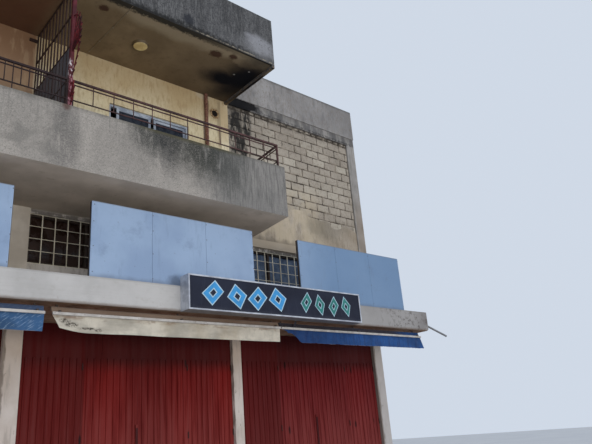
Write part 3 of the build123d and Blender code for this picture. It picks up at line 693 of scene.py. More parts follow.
def steel(name, over=None):
    """Painted steel with chipped paint and rust, and what a part may have over that."""
    paint, worn, rust, chipped = STEELS[name]
    f = Finish(name, 0.6, 0.25)
    chips = f.rise(f.grain(30.0, detail=6.0, rough=0.7, shift=(1, 1, 1)), chipped, chipped + 0.06)
    colour = f.layers(f.blend(f.grain(6.0, detail=5.0), paint, worn), (chips, 0.85, rust))
    if over:
        colour = over(f, colour)
    return f.done(colour, (f.math("SUBTRACT", f.grain(60.0, detail=5.0), chips), 0.0012),
                  gloss=(f.grain(30.0), 0.5, 0.8))


def railing_shade(f, colour):
    """Nearly black along the left flat."""
    return f.layers(colour, (f.rise(f.x, 0.9, -0.1), 0.85, (34, 24, 25)))


def awning_hangers(f, colour):
    """Dark brown above the pale bars: painted shade of the gap under the canopy, partly dirt."""
    above = f.rise(f.z, CLOTH_TOP - 0.001, CLOTH_TOP + 0.004)
    return f.layers(colour, (above, 0.95, (62, 50, 44)))


def spike_wear(f, colour):
    """Dark gaps in the crimson paint and black tips."""
    gaps = f.rise(f.grain(34.0, (1, 1, 0.6), 3.0, 0.6, (2, 1, 0)), 0.48, 0.56)
    tips = f.both(f.rise(f.y, -1.93, -2.02), f.rise(f.grain(18.0), 0.35, 0.55))
    return f.layers(colour, (gaps, 0.75, (30, 8, 12)), (tips, 0.8, (26, 12, 14)))


def partition_parts(f, colour):
    """A grey sheet low down and a flaking dark red post at the street."""
    sheet = f.both(f.within(f.x, 0.0435, 0.0565, 0.0008), f.rise(f.z, 7.66, 7.64))
    grey = f.blend(f.grain(3.0, (1, 1, 0.4), 5.0), (74, 74, 80), (96, 94, 98))
    flakes = f.both(f.rise(f.grain(16.0, (1, 1, 0.5), 7.0, 0.75), 0.46, 0.54),
                    f.rise(f.z, 7.35, 6.9))
    pale = f.both(f.rise(f.grain(18.0, (1, 1, 0.6), 5.0, 0.7, (3, 0, 0)), 0.53, 0.58),
                  f.within(f.z, 7.08, 7.36, 0.05))
    red = f.layers(f.blend(f.grain(9.0, detail=5.0), (93, 36, 43), (68, 26, 32)),
                   (flakes, 0.7, (176, 126, 134)), (pale, 0.9, (220, 214, 214)))
    return f.mix(f.rise(f.y, -1.668, -1.676), f.mix(sheet, colour, grey), red)


def metal(name, tone, dull, roughness, brush):
    """Bare metal with dull patches, fine lines along one direction and a darker brown underside."""
    f = Finish(name, roughness, 0.4, 0.45)
    lines = f.grain(1.0, brush, 3.0)
    colour = f.layers(f.blend(f.grain(5.0, detail=5.0), tone, dull),
                      (f.rise(lines, 0.5, 0.7), 0.25, dull), (f.underside, 0.7, (92, 82, 74)))
    return f.done(colour, (lines, 0.0004), gloss=(lines, roughness - 0.08, roughness + 0.15))


def sign_face():
    """Navy film on plastic, faintly dusty."""
    f = Finish("navy_sign_face", 0.45, 0.2)
    colour = f.layers(
        f.blend(f.grain(1.4, detail=5.0), (24, 28, 44), (32, 37, 54)),
        (f.ragged(f.z, f.grain(6.0), 0.1, 3.76, 3.64), 0.3, (78, 80, 90)),
        (f.rise(f.runs(20.0), 0.56, 0.72), 0.2, (64, 68, 84)))
    return f.done(colour, (f.grain(2.0, detail=2.0), 0.003), gloss=(f.grain(8.0), 0.4, 0.6))


def window_glass():
    """Dusty dark glass: navy on the balcony, and in the strip windows blue-grey and a dark brown
    that is painted shade of the dim room behind.
    """
    f = Finish("dusty_glass", 0.15, 0.35)
    f.shader["IOR"].default_value = 1.45
    dust = f.rise(f.grain(5.0, detail=6.0, rough=0.65), 0.35, 0.7)
    flats = f.mix(dust, (22, 27, 38), (44, 50, 62))
    # painted shade: the opaque dark brown stands for the dim room behind the left strip windows
    brown = f.mix(dust, (34, 20, 14), (54, 35, 27))
    blue = f.mix(dust, (58, 74, 98), (88, 106, 130))
    strips = f.mix(f.rise(f.x, 4.1, 4.2), brown, blue)
    f.feed(f.shader["Roughness"], f.rise(dust, 0.0, 1.0, 0.12, 0.5))
    return f.done(f.mix(f.either(f.rise(f.z, 5.5, 5.6), f.rise(f.y, 0.8, 1.0)), strips, flats),
                  (f.grain(3.0, detail=2.0), 0.0015))


def plain_gloss(name, light, dark, roughness):
    """A moulded or sprayed surface with soft dirt in it."""
    f = Finish(name, roughness, 0.45)
    colour = f.layers(f.blend(f.grain(7.0, detail=5.0), light, dark),
                      (f.rise(f.runs(25.0), 0.55, 0.7), 0.3, dark))
    return f.done(colour, (f.grain(60.0), 0.0006),
                  gloss=(f.grain(20.0), roughness - 0.1, roughness + 0.15))


def lamp_cover():
    """Cream lamp cover with a dark sloping rim."""
    f = Finish("cream_lamp", 0.4, 0.3)
    across = f.math("SUBTRACT", f.math("ABSOLUTE", f.x), LAMP_X)
    away = f.off_square(across, f.math("SUBTRACT", f.y, LAMP_Y))
    colour = f.blend(f.grain(7.0, detail=5.0), (220, 196, 138), (200, 172, 114))
    return f.done(f.mix(f.rise(away, 0.0166, 0.0176), colour, (92, 76, 52)),
                  (f.grain(60.0), 0.0006), gloss=(f.grain(20.0), 0.35, 0.55))


def floor_concrete():
    """Rough grey floor slab."""
    f = Finish("grey_floor_slab", 0.95, 0.2)
    return f.rough(f.layers(
        f.blend(f.grain(1.5, detail=6.0), (150, 146, 140), (128, 124, 118)),
        (f.rise(f.grain(18.0, detail=6.0), 0.55, 0.7), 0.4, (98, 92, 84))))


def over_bar(f):
    """Where a cloth's top edge shows over its bar."""
    return f.rise(f.z, CLOTH_TOP, CLOTH_TOP + 0.007)


def cream_marks(f):
    """Torn holes near the left end, rust marks under the bar, worn patches, and a brown top edge
    that is painted shade under the canopy and partly dirt.
    """
    torn = f.rise(f.grain(30.0, (1, 1, 1.5), 7.0, 0.75, (2, 0, 2)), 0.42, 0.54)
    tears = [(f.both(f.patch((x, CLOTH_FACE, z), (wide, 0.2, high), 1.2, 0.5, 22.0), torn), 0.95,
              (46, 36, 28))
             for x, z, wide, high in ((0.27, 3.38, 0.07, 0.03), (0.38, 3.33, 0.09, 0.03),
                                      (0.62, 3.285, 0.14, 0.016), (0.76, 3.265, 0.04, 0.03))]
    rust = f.both(f.within(f.z, 3.41, 3.46, 0.035),
                  f.rise(f.grain(3.4, (1, 1, 2.2), 6.0, 0.65, (1, 0, 0)), 0.46, 0.62))
    worn = f.rise(f.grain(1.1, (1, 1, 0.5), 4.0, 0.6, (7, 0, 0)), 0.5, 0.7)
    return [*tears, (rust, 0.75, (122, 92, 72)), (worn, 0.4, (168, 150, 122)),
            # painted shade, partly dirt: brown where the cloth shows over its bar under the canopy
            (over_bar(f), 0.85, (112, 86, 68))]


def plain_marks(f):
    """Darker beside the sign, with streaks and a dark top edge that is painted shade under the
    canopy and partly dirt.
    """
    return [(f.both(f.rise(f.x, 7.0, 4.6), f.rise(f.x, 4.0, 4.2)), 0.55, (14, 30, 66)),
            (f.rise(f.runs(22.0, (1, 0, 0), 0.1), 0.46, 0.6), 0.45, (16, 36, 80)),
            # painted shade, partly dirt: dark where the cloth shows over its bar under the canopy
            (f.both(over_bar(f), f.rise(f.x, 7.9, 7.2)), 0.9, (46, 40, 40))]


def stroke_marks(f):
    """Pale slanting strokes and a darker top edge that is painted shade under the canopy and partly
    dirt.
    """
    turned = f.add("ShaderNodeMapping", Vector=f.place, Rotation=(0, math.radians(38), 0))
    longer = f.add("ShaderNodeMapping", Vector=turned.outputs[0], Scale=(9, 1, 95))
    strokes = f.add("ShaderNodeTexNoise", Vector=longer.outputs[0], Scale=1.0, Detail=2.0)
    return [(f.rise(strokes.outputs["Fac"], 0.56, 0.66), 0.42, (158, 178, 198)),
            # painted shade, partly dirt: darker where the cloth shows over its bar under the canopy
            (over_bar(f), 0.8, (66, 78, 104))]


def awning_cloth(name, tone, marks):
    """Coated cloth: fine weave, dirt at the folds and the hem, and its own marks."""
    f = Finish(name, 0.8, 0.25)
    f.shader["Sheen Weight"].default_value = 0.15
    threads = []
    for direction in "XZ":
        wave = f.add("ShaderNodeTexWave", Vector=f.place, Scale=150.0, Distortion=1.0)
        wave.bands_direction = direction
        threads.append(wave.outputs["Fac"])
    dark = shade(tone, 0.62)
    hem = f.both(f.within(f.z, 3.20, 3.228, 0.003), f.rise(f.grain(12.0), 0.4, 0.6))
    colour = f.layers(
        f.blend(f.grain(2.0, (1, 1, 2), 5.0), tone, dark),
        (f.rise(f.runs(14.0, (3, 0, 0), 0.3), 0.5, 0.7), 0.35, dark),
        (f.rise(f.grain(30.0, (1, 1, 0.3), 6.0, 0.7), 0.52, 0.7), 0.3, dark),
        *marks(f), (hem, 0.4, (150, 142, 130)))
    return f.done(colour, (f.grain(8.0, (1, 1, 0.5), 3.0), 0.004),
                  (f.math("ADD", *threads), 0.0003), gloss=(f.grain(10.0), 0.65, 0.9))


def broken_plaster():
    """Crumbling plaster round the wall's hole, dark inside it."""
    f = Finish("broken_plaster", 0.95, 0.2)
    away = f.off_square(f.math("SUBTRACT", f.x, WALL_HOLE.x),
                        f.math("SUBTRACT", f.z, WALL_HOLE.z))
    inside = f.rise(away, 0.0064, 0.0046)
    crumbs = f.blend(f.grain(40.0), (176, 150, 112), (104, 78, 56), 0.4, 0.6)
    return f.rough(f.mix(inside, crumbs, (26, 20, 16)), 0.004, 0.003)


def dress(material, names):
    """Gives CAD nodes their finish through their own material slots."""
    for name in names.split():
        for slot in nodes[name].material_slots:
            slot.material = material


def piece_from(name, shape, material, smooth_angle=None):
    """Turns a worked mesh into a piece that rides on the building."""
    mesh = bpy.data.meshes.new(name)
    shape.normal_update()
    shape.to_mesh(mesh)
    shape.free()
    mesh.materials.append(material)
    made = bpy.data.objects.new(name, mesh)
    bpy.context.scene.collection.objects.link(made)
    if smooth_angle is not None:
        mesh.shade_smooth()
        mesh.set_sharp_from_angle(angle=math.radians(smooth_angle))
    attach(made, "root")
    return made


def quads(lines):
    """The corners of every quad between neighbouring lines of vertices."""
    return [corners for low, high in zip(lines, lines[1:])
            for corners in zip(low, low[1:], high[1:], high)]


def looped(line):
    """A line of vertices that ends where it begins."""
    return [*line, line[0]]


def between(start, end):
    """The place and turn of a rod between two points, and its length."""
    start, end = Vector(start), Vector(end)
    run = end - start
    turn = run.to_track_quat("Z", "Y").to_matrix().to_4x4()
    return Matrix.Translation((start + end) / 2) @ turn, run.length


def bar(shape, start, end, width, depth, bevel=0.0015):
    """Adds a square bar with worn edges between two points."""
    place, length = between(start, end)
    made = bmesh.ops.create_cube(shape, size=1.0,
                                 matrix=place @ Matrix.Diagonal((width, depth, length, 1.0)))
    edges = {edge for vertex in made["verts"] for edge in vertex.link_edges}
    bmesh.ops.bevel(shape, geom=list(edges), offset=bevel, segments=1, affect="EDGES")


def round_bar(shape, start, end, radius, segments, cap_bevel=0.0):
    """Adds a closed round rod between two points."""
    place, length = between(start, end)
    made = bmesh.ops.create_cone(shape, cap_ends=True, segments=segments, radius1=radius,
                                 radius2=radius, depth=length, matrix=place)
    if cap_bevel:
        rims = {edge for vertex in made["verts"] for edge in vertex.link_edges
                if any(len(face.verts) > 4 for face in edge.link_faces)}
        bmesh.ops.bevel(shape, geom=list(rims), offset=cap_bevel, segments=2, affect="EDGES")


class BlockWall:
    """A mesh of separate blocks on one face of a wall, each a grid of small quads."""

    def __init__(self, face, outward, columns, rows):
        self.settings = bpy.context.scene.building.blocks
        self.shape = bmesh.new()
        self.tones = self.shape.loops.layers.color.new("block_tone")
        self.face, self.outward = face, outward
        self.columns, self.rows = columns, rows

    def add(self, left, low, width, height, worn):
        """One block's pitted face, rounded at its edges, and its sides down to the bed."""
        columns, rows = self.columns, self.rows
        tone = random.random() ** 2
        proud = self.settings.proud if self.outward < 0 else self.settings.proud / 3
        bed_depth = self.face - self.outward * 0.006
        grid = []
        for row in range(rows + 1):
            grid.append([])
            for column in range(columns + 1):
                x = left + width * column / columns
                z = low + height * row / rows
                inside = min(column, columns - column, row, rows - row)
                inset = 0.0 if inside else 0.35 + worn
                bump = noise.noise(Vector((x * 9, z * 9, self.face * 3)))
                fine = noise.noise(Vector((x * 41, z * 41, 2.0)))
                depth = proud * (1 - min(inset, 0.9)) + self.settings.roughness * (bump + fine)
                if not inside:
                    pull = 0.012 * (0.4 + fine) + 0.020 * worn * (0.5 + bump)
                    x += pull * ((column == 0) - (column == columns))
                    z += pull * ((row == 0) - (row == rows))
                grid[-1].append(self.shape.verts.new((x, self.face + self.outward * depth, z)))
        rim = (grid[0][:-1] + [line[-1] for line in grid[:-1]]
               + grid[-1][:0:-1] + [line[0] for line in grid[:0:-1]])
        bed = [self.shape.verts.new((vertex.co.x, bed_depth, vertex.co.z)) for vertex in rim]
        for corners in quads(grid) + quads([looped(bed), looped(rim)]):
            for loop in self.shape.faces.new(corners[::-self.outward]).loops:
                loop[self.tones] = (tone, tone, tone, 1.0)

    def lay(self, span, heights, hole=None):
        """Running-bond courses over a rectangle, round one opening (its left, right, sill and
        head) if there is one."""
        (x0, x1), (low, top) = span, heights
        length, course = self.settings.block_length, self.settings.course_height
        row = 0
        while low < top - 0.03:
            high = min(low + course, top)
            cut = high - low < course * 0.9
            pitch = length / 2 if cut else length
            left = x0 - (length / 2 if row % 2 else 0.0)
            while left < x1 - 0.02:
                a, b = max(left, x0), min(left + pitch, x1)
                spans = [(a, b)]
                if hole and low < hole[3] - 0.01 and high > hole[2] + 0.01:
                    spans = [(a, min(b, hole[0])), (max(a, hole[1]), b)]
                for start, end in spans:
                    if end - start < 0.05:
                        continue
                    worn = random.random() * (1.6 if cut else 0.6)
                    gap = self.settings.joint * (2.6 if cut else 1.0) * random.uniform(0.7, 1.4)
                    self.add(start + gap / 2, low + gap / 2, end - start - gap,
                             high - low - gap, worn)
                left += pitch
            low = high
            row += 1


class BUILDING_OT_finishes(bpy.types.Operator):
    """Give every carried-over node of the building its weathered finish"""
    bl_idname = "building.finishes"
    bl_label = "Weathered Finishes"

    def execute(self, context):
        door_paint = context.scene.building.doors.red
        for material, names in (
                (roof_concrete(), "roof_overhang roof_front_fascia roof_end_fascias"),
                (balcony_render(), "balcony_slab balcony_front_parapet balcony_end_parapets"),
                (yellow_plaster(), "apartment_front_wall balcony_door_lintels"),
                (cream_plaster(), "mezzanine_front_wall"),
                (frame_concrete(),
                 "mezzanine_floor apartment_floor roof_slab upper_columns rear_columns"),
                (column_paint(), "shop_columns"),
                (side_render(), "left_party_wall right_party_wall cross_parapets side_parapets"),
                (block_face(True), "block_infill rear_wall"),
                (canopy_concrete(), "canopy_slab canopy_front_edge canopy_end_edges"),
                (door_red(door_paint), "folding_doors door_heads transom_sheets"),
                (panel_blue(), "sheet_panels"),
                (steel("dark_panel_posts"), "panel_posts"),
                (metal("silver_sign_frame", (200, 204, 212), (160, 164, 174), 0.4, (2, 2, 160)),
                 "sign_box"),
                (sign_face(), "sign_face"),
                (steel("pale_awning_bars", awning_hangers), "awning_frames"),
                (steel("maroon_railing", railing_shade),
                 "balcony_railing_right balcony_railing_left balcony_railing_ends"),
                (steel("partition_paint", partition_parts), "partition_grille"),
                (steel("red_spikes", spike_wear), "partition_spikes"),
                # painted shade: the strip window frames get a dark brown for the shadow they stand
                # in
                (steel("painted_shade_window_steel"), "window_frames"),
                (plain_gloss("white_door_frames", (176, 184, 196), (132, 141, 156), 0.4),
                 "balcony_door_frames"),
                (window_glass(), "window_glass"),
                (steel("brown_pipe"), "downpipes"),
                (lamp_cover(), "ceiling_lamps"),
                (metal("galvanised_spout", (150, 152, 156), (112, 112, 114), 0.5, (60, 60, 60)),
                 "rain_spouts"),
                (floor_concrete(), "ground_slab")):
            dress(material, names)
        return {"FINISHED"}


class BUILDING_OT_block_walls(bpy.types.Operator):
    """Lay bare concrete blocks on the two end infills and on the rear wall"""
    bl_idname = "building.block_walls"
    bl_label = "Block Walls"

    def execute(self, context):
        random.seed(context.scene.building.blocks.seed)
        material = block_face(False)
        shops, below_strip, flats = (0.10, 3.62), (3.80, STRIP_SILL), (FLOOR_TOP, CEILING)
        half_window, sill, head = 0.855, 6.60, 7.94
        for name, span in zip(("left_infill_blocks", "right_infill_blocks"), INFILL_BAYS):
            wall = BlockWall(INFILL_FACE, -1, 10, 6)
            wall.lay(span, flats)
            piece_from(name, wall.shape, material, 40)
        wall = BlockWall(REAR_FACE, 1, 3, 2)
        for span in BAYS:
            middle = sum(span) / 2
            wall.lay(span, shops)
            wall.lay(span, below_strip)
            wall.lay(span, flats, (middle - half_window, middle + half_window, sill, head))
        piece_from("rear_wall_blocks", wall.shape, material, 40)
        return {"FINISHED"}


class BUILDING_OT_plaster_coat(bpy.types.Operator):
    """Trowel a thin torn plaster coat over the lowest courses of both infills"""
    bl_idname = "building.plaster_coat"
    bl_label = "Plaster Coat"

    def execute(self, context):
        settings = context.scene.building.plaster
        material = smeared_plaster()
        columns, rows, sunk = 130, 46, 0.012
        near, far = BAYS[3]
        top = max(settings.top_left, settings.top_right) + 0.25
        for name, (x0, x1) in zip(("left_plaster_coat", "right_plaster_coat"), INFILL_BAYS):
            shape = bmesh.new()
            grid = []
            for row in range(rows + 1):
                z = FLOOR_TOP + (top - FLOOR_TOP) * row / rows
                grid.append([])
                for column in range(columns + 1):
                    x = x0 + (x1 - x0) * column / columns
                    outer = (abs(x) - near) / (far - near)
                    edge = settings.top_left + (settings.top_right - settings.top_left) * outer
                    torn = noise.fractal(Vector((x * 1.7, 0.0, z * 3.0)), 0.8, 2.0, 5)
                    share = clamp((edge + settings.raggedness * torn - z) / 0.05)
                    lumps = 0.003 * noise.noise(Vector((x * 5, 1.0, z * 5)))
                    stand = (settings.thickness + sunk + lumps) * share - sunk
                    grid[-1].append(shape.verts.new((x, INFILL_FACE - stand, z)))
            for corners in quads(grid):
                shape.faces.new(corners)
            piece_from(name, shape, material, 60)
        return {"FINISHED"}


class BUILDING_OT_window_grilles(bpy.types.Operator):
    """Set square bar grilles in front of the strip windows"""
    bl_idname = "building.window_grilles"
    bl_label = "Window Grilles"

    def execute(self, context):
        settings = context.scene.building.grilles
        material = steel("cream_grille")
        thick = settings.bar
        height = STRIP_HEAD - STRIP_SILL
        y = MEZZANINE_FACE + settings.stand_off + thick / 2
        for number, (x0, x1) in enumerate(BAYS):
            shape = bmesh.new()
            count = round((x1 - x0) / settings.cell)
            for index in range(count + 1):
                x = x0 + thick / 2 + (x1 - x0 - thick) * index / count
                bar(shape, (x, y, STRIP_SILL), (x, y, STRIP_HEAD), thick, thick)
            count = round(height / settings.cell)
            for index in range(count + 1):
                z = STRIP_SILL + thick / 2 + (height - thick) * index / count
                bar(shape, (x0, y - 0.006, z), (x1, y - 0.006, z), thick, thick * 0.6)
            piece_from(f"window_grille_{number + 1}", shape, material)
        return {"FINISHED"}


# One entry for each awning: name, cloth, left and right end of the bar, how far each end of
# the hem leans sideways, how much of the drop is left at the left end, and how torn the hem is
AWNINGS = (
    ("awning_far_left", "blue", -8.175, -4.105, 0.00, 0.00, 1.00, 0.0),
    ("awning_left", "strokes", -4.080, -0.010, 0.00, -0.016, 1.00, 0.0),
    ("awning_middle", "cream", 0.095, 4.165, 0.11, -0.017, 0.76, 0.0),
    ("awning_right", "blue", 4.190, 8.260, 0.32, 0.095, 0.35, 0.10),
)


def awning_profile(turns):
    """Depth and height of the cloth from inside the roll, round it and down behind the bar."""
    centre_y, centre_z, outer, inner = -1.310, 3.552, 0.034, 0.016
    points = []
    steps = turns * 18
    for index in range(steps + 1):
        angle = math.pi - 2 * math.pi * turns * (1 - index / steps)
        radius = inner + (outer - inner) * index / steps
        points.append((centre_y + radius * math.cos(angle), centre_z + radius * math.sin(angle)))
    return points + [(-1.3455, 3.540), (-1.349, 3.527), (-1.357, 3.513), (-1.367, 3.502),
                     (-1.376, 3.491), (-1.3805, 3.478), (-1.3815, 3.462)]


class BUILDING_OT_awnings(bpy.types.Operator):
    """Roll up the awning cloths and let their loose ends hang behind the bars"""
    bl_idname = "building.awnings"
    bl_label = "Rolled Awnings"

    def execute(self, context):
        settings = context.scene.building.awnings
        finishes = {
            "blue": awning_cloth("blue_awning_cloth", settings.blue, plain_marks),
            "strokes": awning_cloth("faded_awning_cloth", settings.faded_blue, stroke_marks),
            "cream": awning_cloth("cream_awning_cloth", settings.cream, cream_marks),
        }
        wound = awning_profile(settings.turns)
        bar_back, hang_top = wound[-1]
        roll_back, roll_foot, hem = -1.34, 3.53, 3.219
        drops, columns, corner = 9, 110, 0.5
        for name, kind, x0, x1, lean0, lean1, drop0, torn in AWNINGS:
            shape = bmesh.new()
            grid = []
            for column in range(columns + 1):
                share = column / columns
                x = x0 + (x1 - x0) * share
                near0 = max(0.0, 1 - share * (x1 - x0) / corner)
                near1 = max(0.0, 1 - (1 - share) * (x1 - x0) / corner)
                drop = 1 - (1 - drop0) * near0 ** 1.5
                drop *= 1 - 0.045 * abs(noise.noise(Vector((x * 1.1, 4.0, 0.0))))
                drop *= 1 - torn * abs(noise.noise(Vector((x * 13.0, 1.0, 0.0))))
                lump = 0.0025 * noise.noise(Vector((x * 4.0, 0.0, 7.0)))
                sag = 0.003 * math.sin(math.pi * (share * 2 % 1))
                line = []
                for y, z in wound:
                    held = 1 - (clamp((roll_foot - z) / 0.04) if y < roll_back else 0.0)
                    line.append((x, y + lump * held, z - sag * held))
                for index in range(1, drops + 1):
                    down = index / drops
                    wave = noise.noise(Vector((x * 2.6, down * 0.7, 2.0)))
                    fold = noise.noise(Vector((x * 9.0, down * 1.5, 5.0)))
                    y = bar_back + settings.ripple * down * (wave + 0.4 * fold)
                    y = max(y, bar_back - 0.002) if down < 0.2 else y
                    lean = (lean0 * near0 + lean1 * near1) * down
                    line.append((x + lean, y, hang_top - (hang_top - hem) * down * drop))
                grid.append([shape.verts.new(point) for point in line])
            for corners in quads(grid):
                shape.faces.new(corners)
            shape.normal_update()
            length = sum(face.calc_area() for face in shape.faces) / (x1 - x0)
            bmesh.ops.solidify(shape, geom=list(shape.faces), thickness=settings.cloth)
            made = piece_from(name, shape, finishes[kind], 50)
            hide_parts("awning_rolls", "awning_valances")
        return {"FINISHED"}


def lozenge(shape, centre, width, height, lean, front, back):
    """Adds one plain leaning lozenge with a flat face at a depth."""
    x, z = centre
    corners = [(x + u * width + lean * v * height, z + v * height)
               for u, v in ((0.0, 0.5), (0.5, 0.08), (0.06, -0.5), (-0.5, -0.06))]
    fore, rear = ([shape.verts.new((u, depth, v)) for u, v in corners] for depth in (front, back))
    shape.faces.new(fore[::-1])
    shape.faces.new(rear)
    for sides in quads([looped(fore), looped(rear)]):
        shape.faces.new(sides)


class BUILDING_OT_sign_shapes(bpy.types.Operator):
    """Put two rows of plain raised lozenges on the sign's face"""
    bl_idname = "building.sign_shapes"
    bl_label = "Sign Shapes"

    def execute(self, context):
        settings = context.scene.building.sign
        low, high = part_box("sign_face")
        middle = (low.z + high.z) / 2
        rims, cores = bmesh.new(), bmesh.new()
        for name, tone, places, width, height in (
                ("sign_blue_shapes", settings.blue, (2.52, 3.00, 3.43, 3.88), 0.42, 0.43),
                ("sign_teal_shapes", settings.teal, (4.56, 4.90, 5.26, 5.60), 0.27, 0.40)):
            shape = bmesh.new()
            for x, lean, lift in zip(places, (0.22, -0.16, 0.12, -0.20),
                                     (0.012, -0.010, -0.012, 0.008)):
                for target, scale, step in ((rims, 1.0, 0.6), (shape, 0.88, 1.0),
                                            (rims, 0.40, 1.3), (cores, 0.28, 1.6)):
                    lozenge(target, (x, middle + lift), width * scale, height * scale, lean,
                            low.y - settings.relief * step, low.y + 0.001)
            film = plain_gloss(name + "_film", tone, shade(tone, 0.75), 0.45)
            piece_from(name, shape, film)
        film = plain_gloss("sign_outline_film", settings.edge, shade(settings.edge, 0.8), 0.45)
        piece_from("sign_shape_outlines", rims, film)
        piece_from("sign_shape_cores", cores, sign_face())
        return {"FINISHED"}


# The plate, the staple and the lock of a hasp, from the middle of a bay: both ends of the bar,
# its width, its depth and its worn edge
HASP = (
    ((-0.085, -0.030, 1.100), (0.055, -0.030, 1.100), 0.045, 0.006, 0.0015),
    ((0.030, -0.024, 1.085), (0.030, -0.046, 1.085), 0.012, 0.012, 0.0015),
    ((0.030, -0.050, 1.035), (0.030, -0.050, 1.085), 0.046, 0.022, 0.004),
)


class BUILDING_OT_door_ironwork(bpy.types.Operator):
    """Add hinge barrels at the folds of the shop doors and a hasp at each lock bar"""
    bl_idname = "building.door_ironwork"
    bl_label = "Door Ironwork"

    def execute(self, context):
        settings = context.scene.building.doors
        half = settings.hinge_length / 2
        heights, inset, hinge_y = (0.42, 1.78, 2.94), 0.012, -0.006
        hinges, hasps = bmesh.new(), bmesh.new()
        for x0, x1 in BAYS:
            leaf = (x1 - x0) / 4
            for index, inward in ((0, inset), (1, 0.0), (3, 0.0), (4, -inset)):
                x = x0 + index * leaf + inward
                for z in heights:
                    round_bar(hinges, (x, hinge_y, z - half), (x, hinge_y, z + half),
                              settings.hinge_radius, 12, 0.002)
            middle = x0 + 2 * leaf
            for (left, front, low), (right, back, high), width, depth, bevel in HASP:
                bar(hasps, (middle + left, front, low), (middle + right, back, high),
                    width, depth, bevel)
        piece_from("door_hinges", hinges, steel("dark_hinges"), 40)
        piece_from("door_hasps", hasps, steel("worn_hasps"), 40)
        return {"FINISHED"}


class BUILDING_OT_panel_screws(bpy.types.Operator):
    """Screw the blue sheets to their posts with low domed screws"""
    bl_idname = "building.panel_screws"
    bl_label = "Panel Screws"

    def execute(self, context):
        shape = bmesh.new()
        random.seed(21)
        radius, half_group, stray = 0.009, 1.511, 0.008
        columns, heights = (0.042, 1.021, 2.029, 3.008), (4.10, 4.49, 4.88, 5.15)
        turn = Vector((0, -1, 0)).to_track_quat("Z", "Y").to_matrix().to_4x4()
        squash = Matrix.Diagonal((1.0, 1.0, 0.45, 1.0))
        for number in range(-2, 2):
            left = (number + 0.5) * BAY_PITCH - half_group
            for column in columns:
                for z in heights:
                    place = Vector((left + column + random.uniform(-stray, stray),
                                    PANEL_FACE, z + random.uniform(-0.01, 0.01)))
                    bmesh.ops.create_uvsphere(
                        shape, u_segments=10, v_segments=6, radius=radius,
                        matrix=Matrix.Translation(place) @ turn @ squash)
        piece_from("panel_screws", shape, steel("panel_screw_steel"), 40)
        return {"FINISHED"}


class BUILDING_OT_soffit_fittings(bpy.types.Operator):
    """Run thin conduits over the roof soffit and break the hole into the wall"""
    bl_idname = "building.soffit_fittings"
    bl_label = "Soffit Fittings"

    def execute(self, context):
        conduits = bmesh.new()
        z = CEILING - 0.007
        for side in (1, -1):
            path = [(1.050, -1.735, z), (1.032, -1.264, z), (0.997, -0.721, z),
                    (0.957, -0.012, z), (0.957, -0.009, z - 0.05)]
            path = [(side * x, y, height) for x, y, height in path]
            for start, end in zip(path, path[1:]):
                round_bar(conduits, start, end, 0.004, 8)
            for y in (-1.5, -1.0, -0.5, -0.1):
                x = side * (0.957 + 0.055 * (-y / 0.85))
                bar(conduits, (x - 0.014, y, z + 0.001), (x + 0.014, y, z + 0.001), 0.014, 0.012)
        grey = plain_gloss("grey_conduit", (140, 126, 104), (112, 98, 80), 0.6)
        piece_from("soffit_conduits", conduits, grey, 40)

        hole = bmesh.new()
        points = 28
        rings = []
        for radius, stand in ((0.125, 0.0005), (0.102, 0.006), (0.085, 0.009), (0.066, 0.0012)):
            ring = []
            for index in range(points):
                angle = 2 * math.pi * index / points
                across, up = math.cos(angle), math.sin(angle)
                torn = 1 + 0.22 * noise.noise(Vector((across * 2, up * 2, radius * 9)))
                ring.append(hole.verts.new((WALL_HOLE.x + radius * torn * across, -stand,
                                            WALL_HOLE.z + radius * torn * up)))
            rings.append(looped(ring))
        for corners in quads(rings):
            hole.faces.new(corners)
        hole.faces.new(ring[::-1])
        piece_from("wall_hole_rim", hole, broken_plaster(), 50)
        return {"FINISHED"}


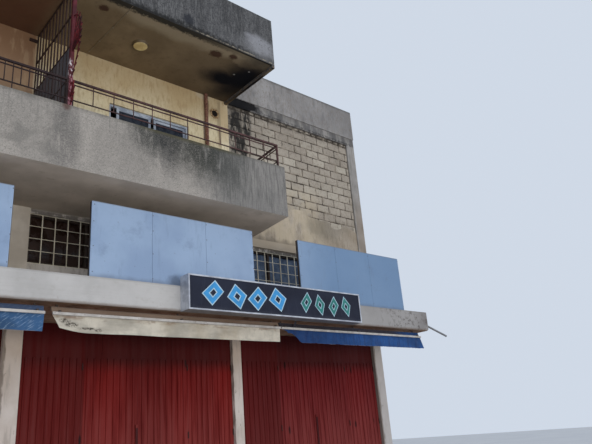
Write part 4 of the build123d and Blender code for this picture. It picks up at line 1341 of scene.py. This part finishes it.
class BUILDING_OT_stage(bpy.types.Operator):
    """Set the studio floor, the soft lights and the street-level camera"""
    bl_idname = "building.stage"
    bl_label = "Stage"

    def execute(self, context):
        settings = context.scene.building.stage
        objects = context.scene.collection.objects
        half = settings.floor_half
        mesh = bpy.data.meshes.new("studio_floor")
        mesh.from_pydata([(-half, -half, 0), (half, -half, 0), (half, half, 0),
                          (-half, half, 0)], [], [(0, 1, 2, 3)])
        floor = bpy.data.objects.new("studio_floor", mesh)
        objects.link(floor)
        pale = Finish("pale_studio_floor", 0.9, 0.2)
        mesh.materials.append(pale.done(
            pale.blend(pale.grain(0.4), (214, 214, 214), (208, 208, 209), 0.3, 0.7)))

        world = bpy.data.worlds.new("studio_room")
        world.use_nodes = True
        room = world.node_tree.nodes["Background"].inputs
        room["Color"].default_value = linear(222, 232, 246)
        room["Strength"].default_value = settings.sky
        context.scene.world = world

        for name, place, target, size, beam, power, tint in (
                ("key_softbox", (-9.0, -22.0, 15.0), (2.5, 0.0, 5.0), (16.0, 12.0), 180,
                 settings.key, (1.0, 0.97, 0.93)),
                ("fill_softbox", (2.0, -17.0, 0.8), (2.0, 0.0, 8.0), (26.0, 5.0), 110,
                 settings.fill, (1.0, 0.93, 0.84))):
            lamp = bpy.data.lights.new(name, "AREA")
            lamp.shape = "RECTANGLE"
            lamp.size, lamp.size_y = size
            lamp.spread = math.radians(beam)
            lamp.energy = power
            lamp.color = tint
            softbox = bpy.data.objects.new(name, lamp)
            softbox.location = place
            aim = Vector(target) - softbox.location
            softbox.rotation_euler = aim.to_track_quat("-Z", "Y").to_euler()
            objects.link(softbox)

        lens = bpy.data.cameras.new("street_camera")
        lens.sensor_width = 36.0
        lens.lens = CAMERA_LENS
        lens.clip_end = 500.0
        camera = bpy.data.objects.new("street_camera", lens)
        turn = Matrix((CAMERA_RIGHT, CAMERA_UP, -CAMERA_AHEAD)).transposed().to_4x4()
        camera.matrix_world = Matrix.Translation(CAMERA_PLACE) @ turn
        objects.link(camera)
        context.scene.camera = camera
        context.scene.view_settings.view_transform = "Standard"
        return {"FINISHED"}


class BUILDING_PT_panel(bpy.types.Panel):
    """Lists the building's settings and its dressing steps"""
    bl_label = "Building"
    bl_idname = "BUILDING_PT_panel"
    bl_space_type = "VIEW_3D"
    bl_region_type = "UI"
    bl_category = "Building"

    def draw(self, context):
        settings = context.scene.building
        for name in BuildingSettings.__annotations__:
            group = getattr(settings, name)
            if not isinstance(group, bpy.types.PropertyGroup):
                self.layout.prop(settings, name)
                continue
            box = self.layout.box()
            box.label(text=name.title())
            for setting in type(group).__annotations__:
                box.prop(group, setting)
        for step in STEPS:
            self.layout.operator(step.bl_idname)


GROUPS = (BlockWallSettings, PlasterSettings, GrilleSettings, AwningSettings, SignSettings,
          DoorSettings, StageSettings, BuildingSettings)
STEPS = (BUILDING_OT_finishes, BUILDING_OT_block_walls, BUILDING_OT_plaster_coat,
         BUILDING_OT_window_grilles, BUILDING_OT_awnings, BUILDING_OT_sign_shapes,
         BUILDING_OT_door_ironwork, BUILDING_OT_panel_screws, BUILDING_OT_soffit_fittings,
         BUILDING_OT_stage)


def register():
    """Makes the settings, the steps and the sidebar panel known."""
    for group in GROUPS:
        bpy.utils.register_class(group)
    bpy.types.Scene.building = PointerProperty(type=BuildingSettings)
    for kind in (*STEPS, BUILDING_PT_panel):
        bpy.utils.register_class(kind)


def unregister():
    """Takes them away again."""
    for kind in (BUILDING_PT_panel, *reversed(STEPS)):
        bpy.utils.unregister_class(kind)
    del bpy.types.Scene.building
    for group in reversed(GROUPS):
        bpy.utils.unregister_class(group)


def main():
    """Runs every step in order."""
    register()
    bpy.ops.building.finishes()
    bpy.ops.building.block_walls()
    bpy.ops.building.plaster_coat()
    bpy.ops.building.window_grilles()
    bpy.ops.building.awnings()
    bpy.ops.building.sign_shapes()
    if bpy.context.scene.building.small_fittings:
        bpy.ops.building.door_ironwork()
        bpy.ops.building.panel_screws()
        bpy.ops.building.soffit_fittings()
    bpy.ops.building.stage()
    bpy.context.view_layer.update()


if __name__ == "__main__":
    main()
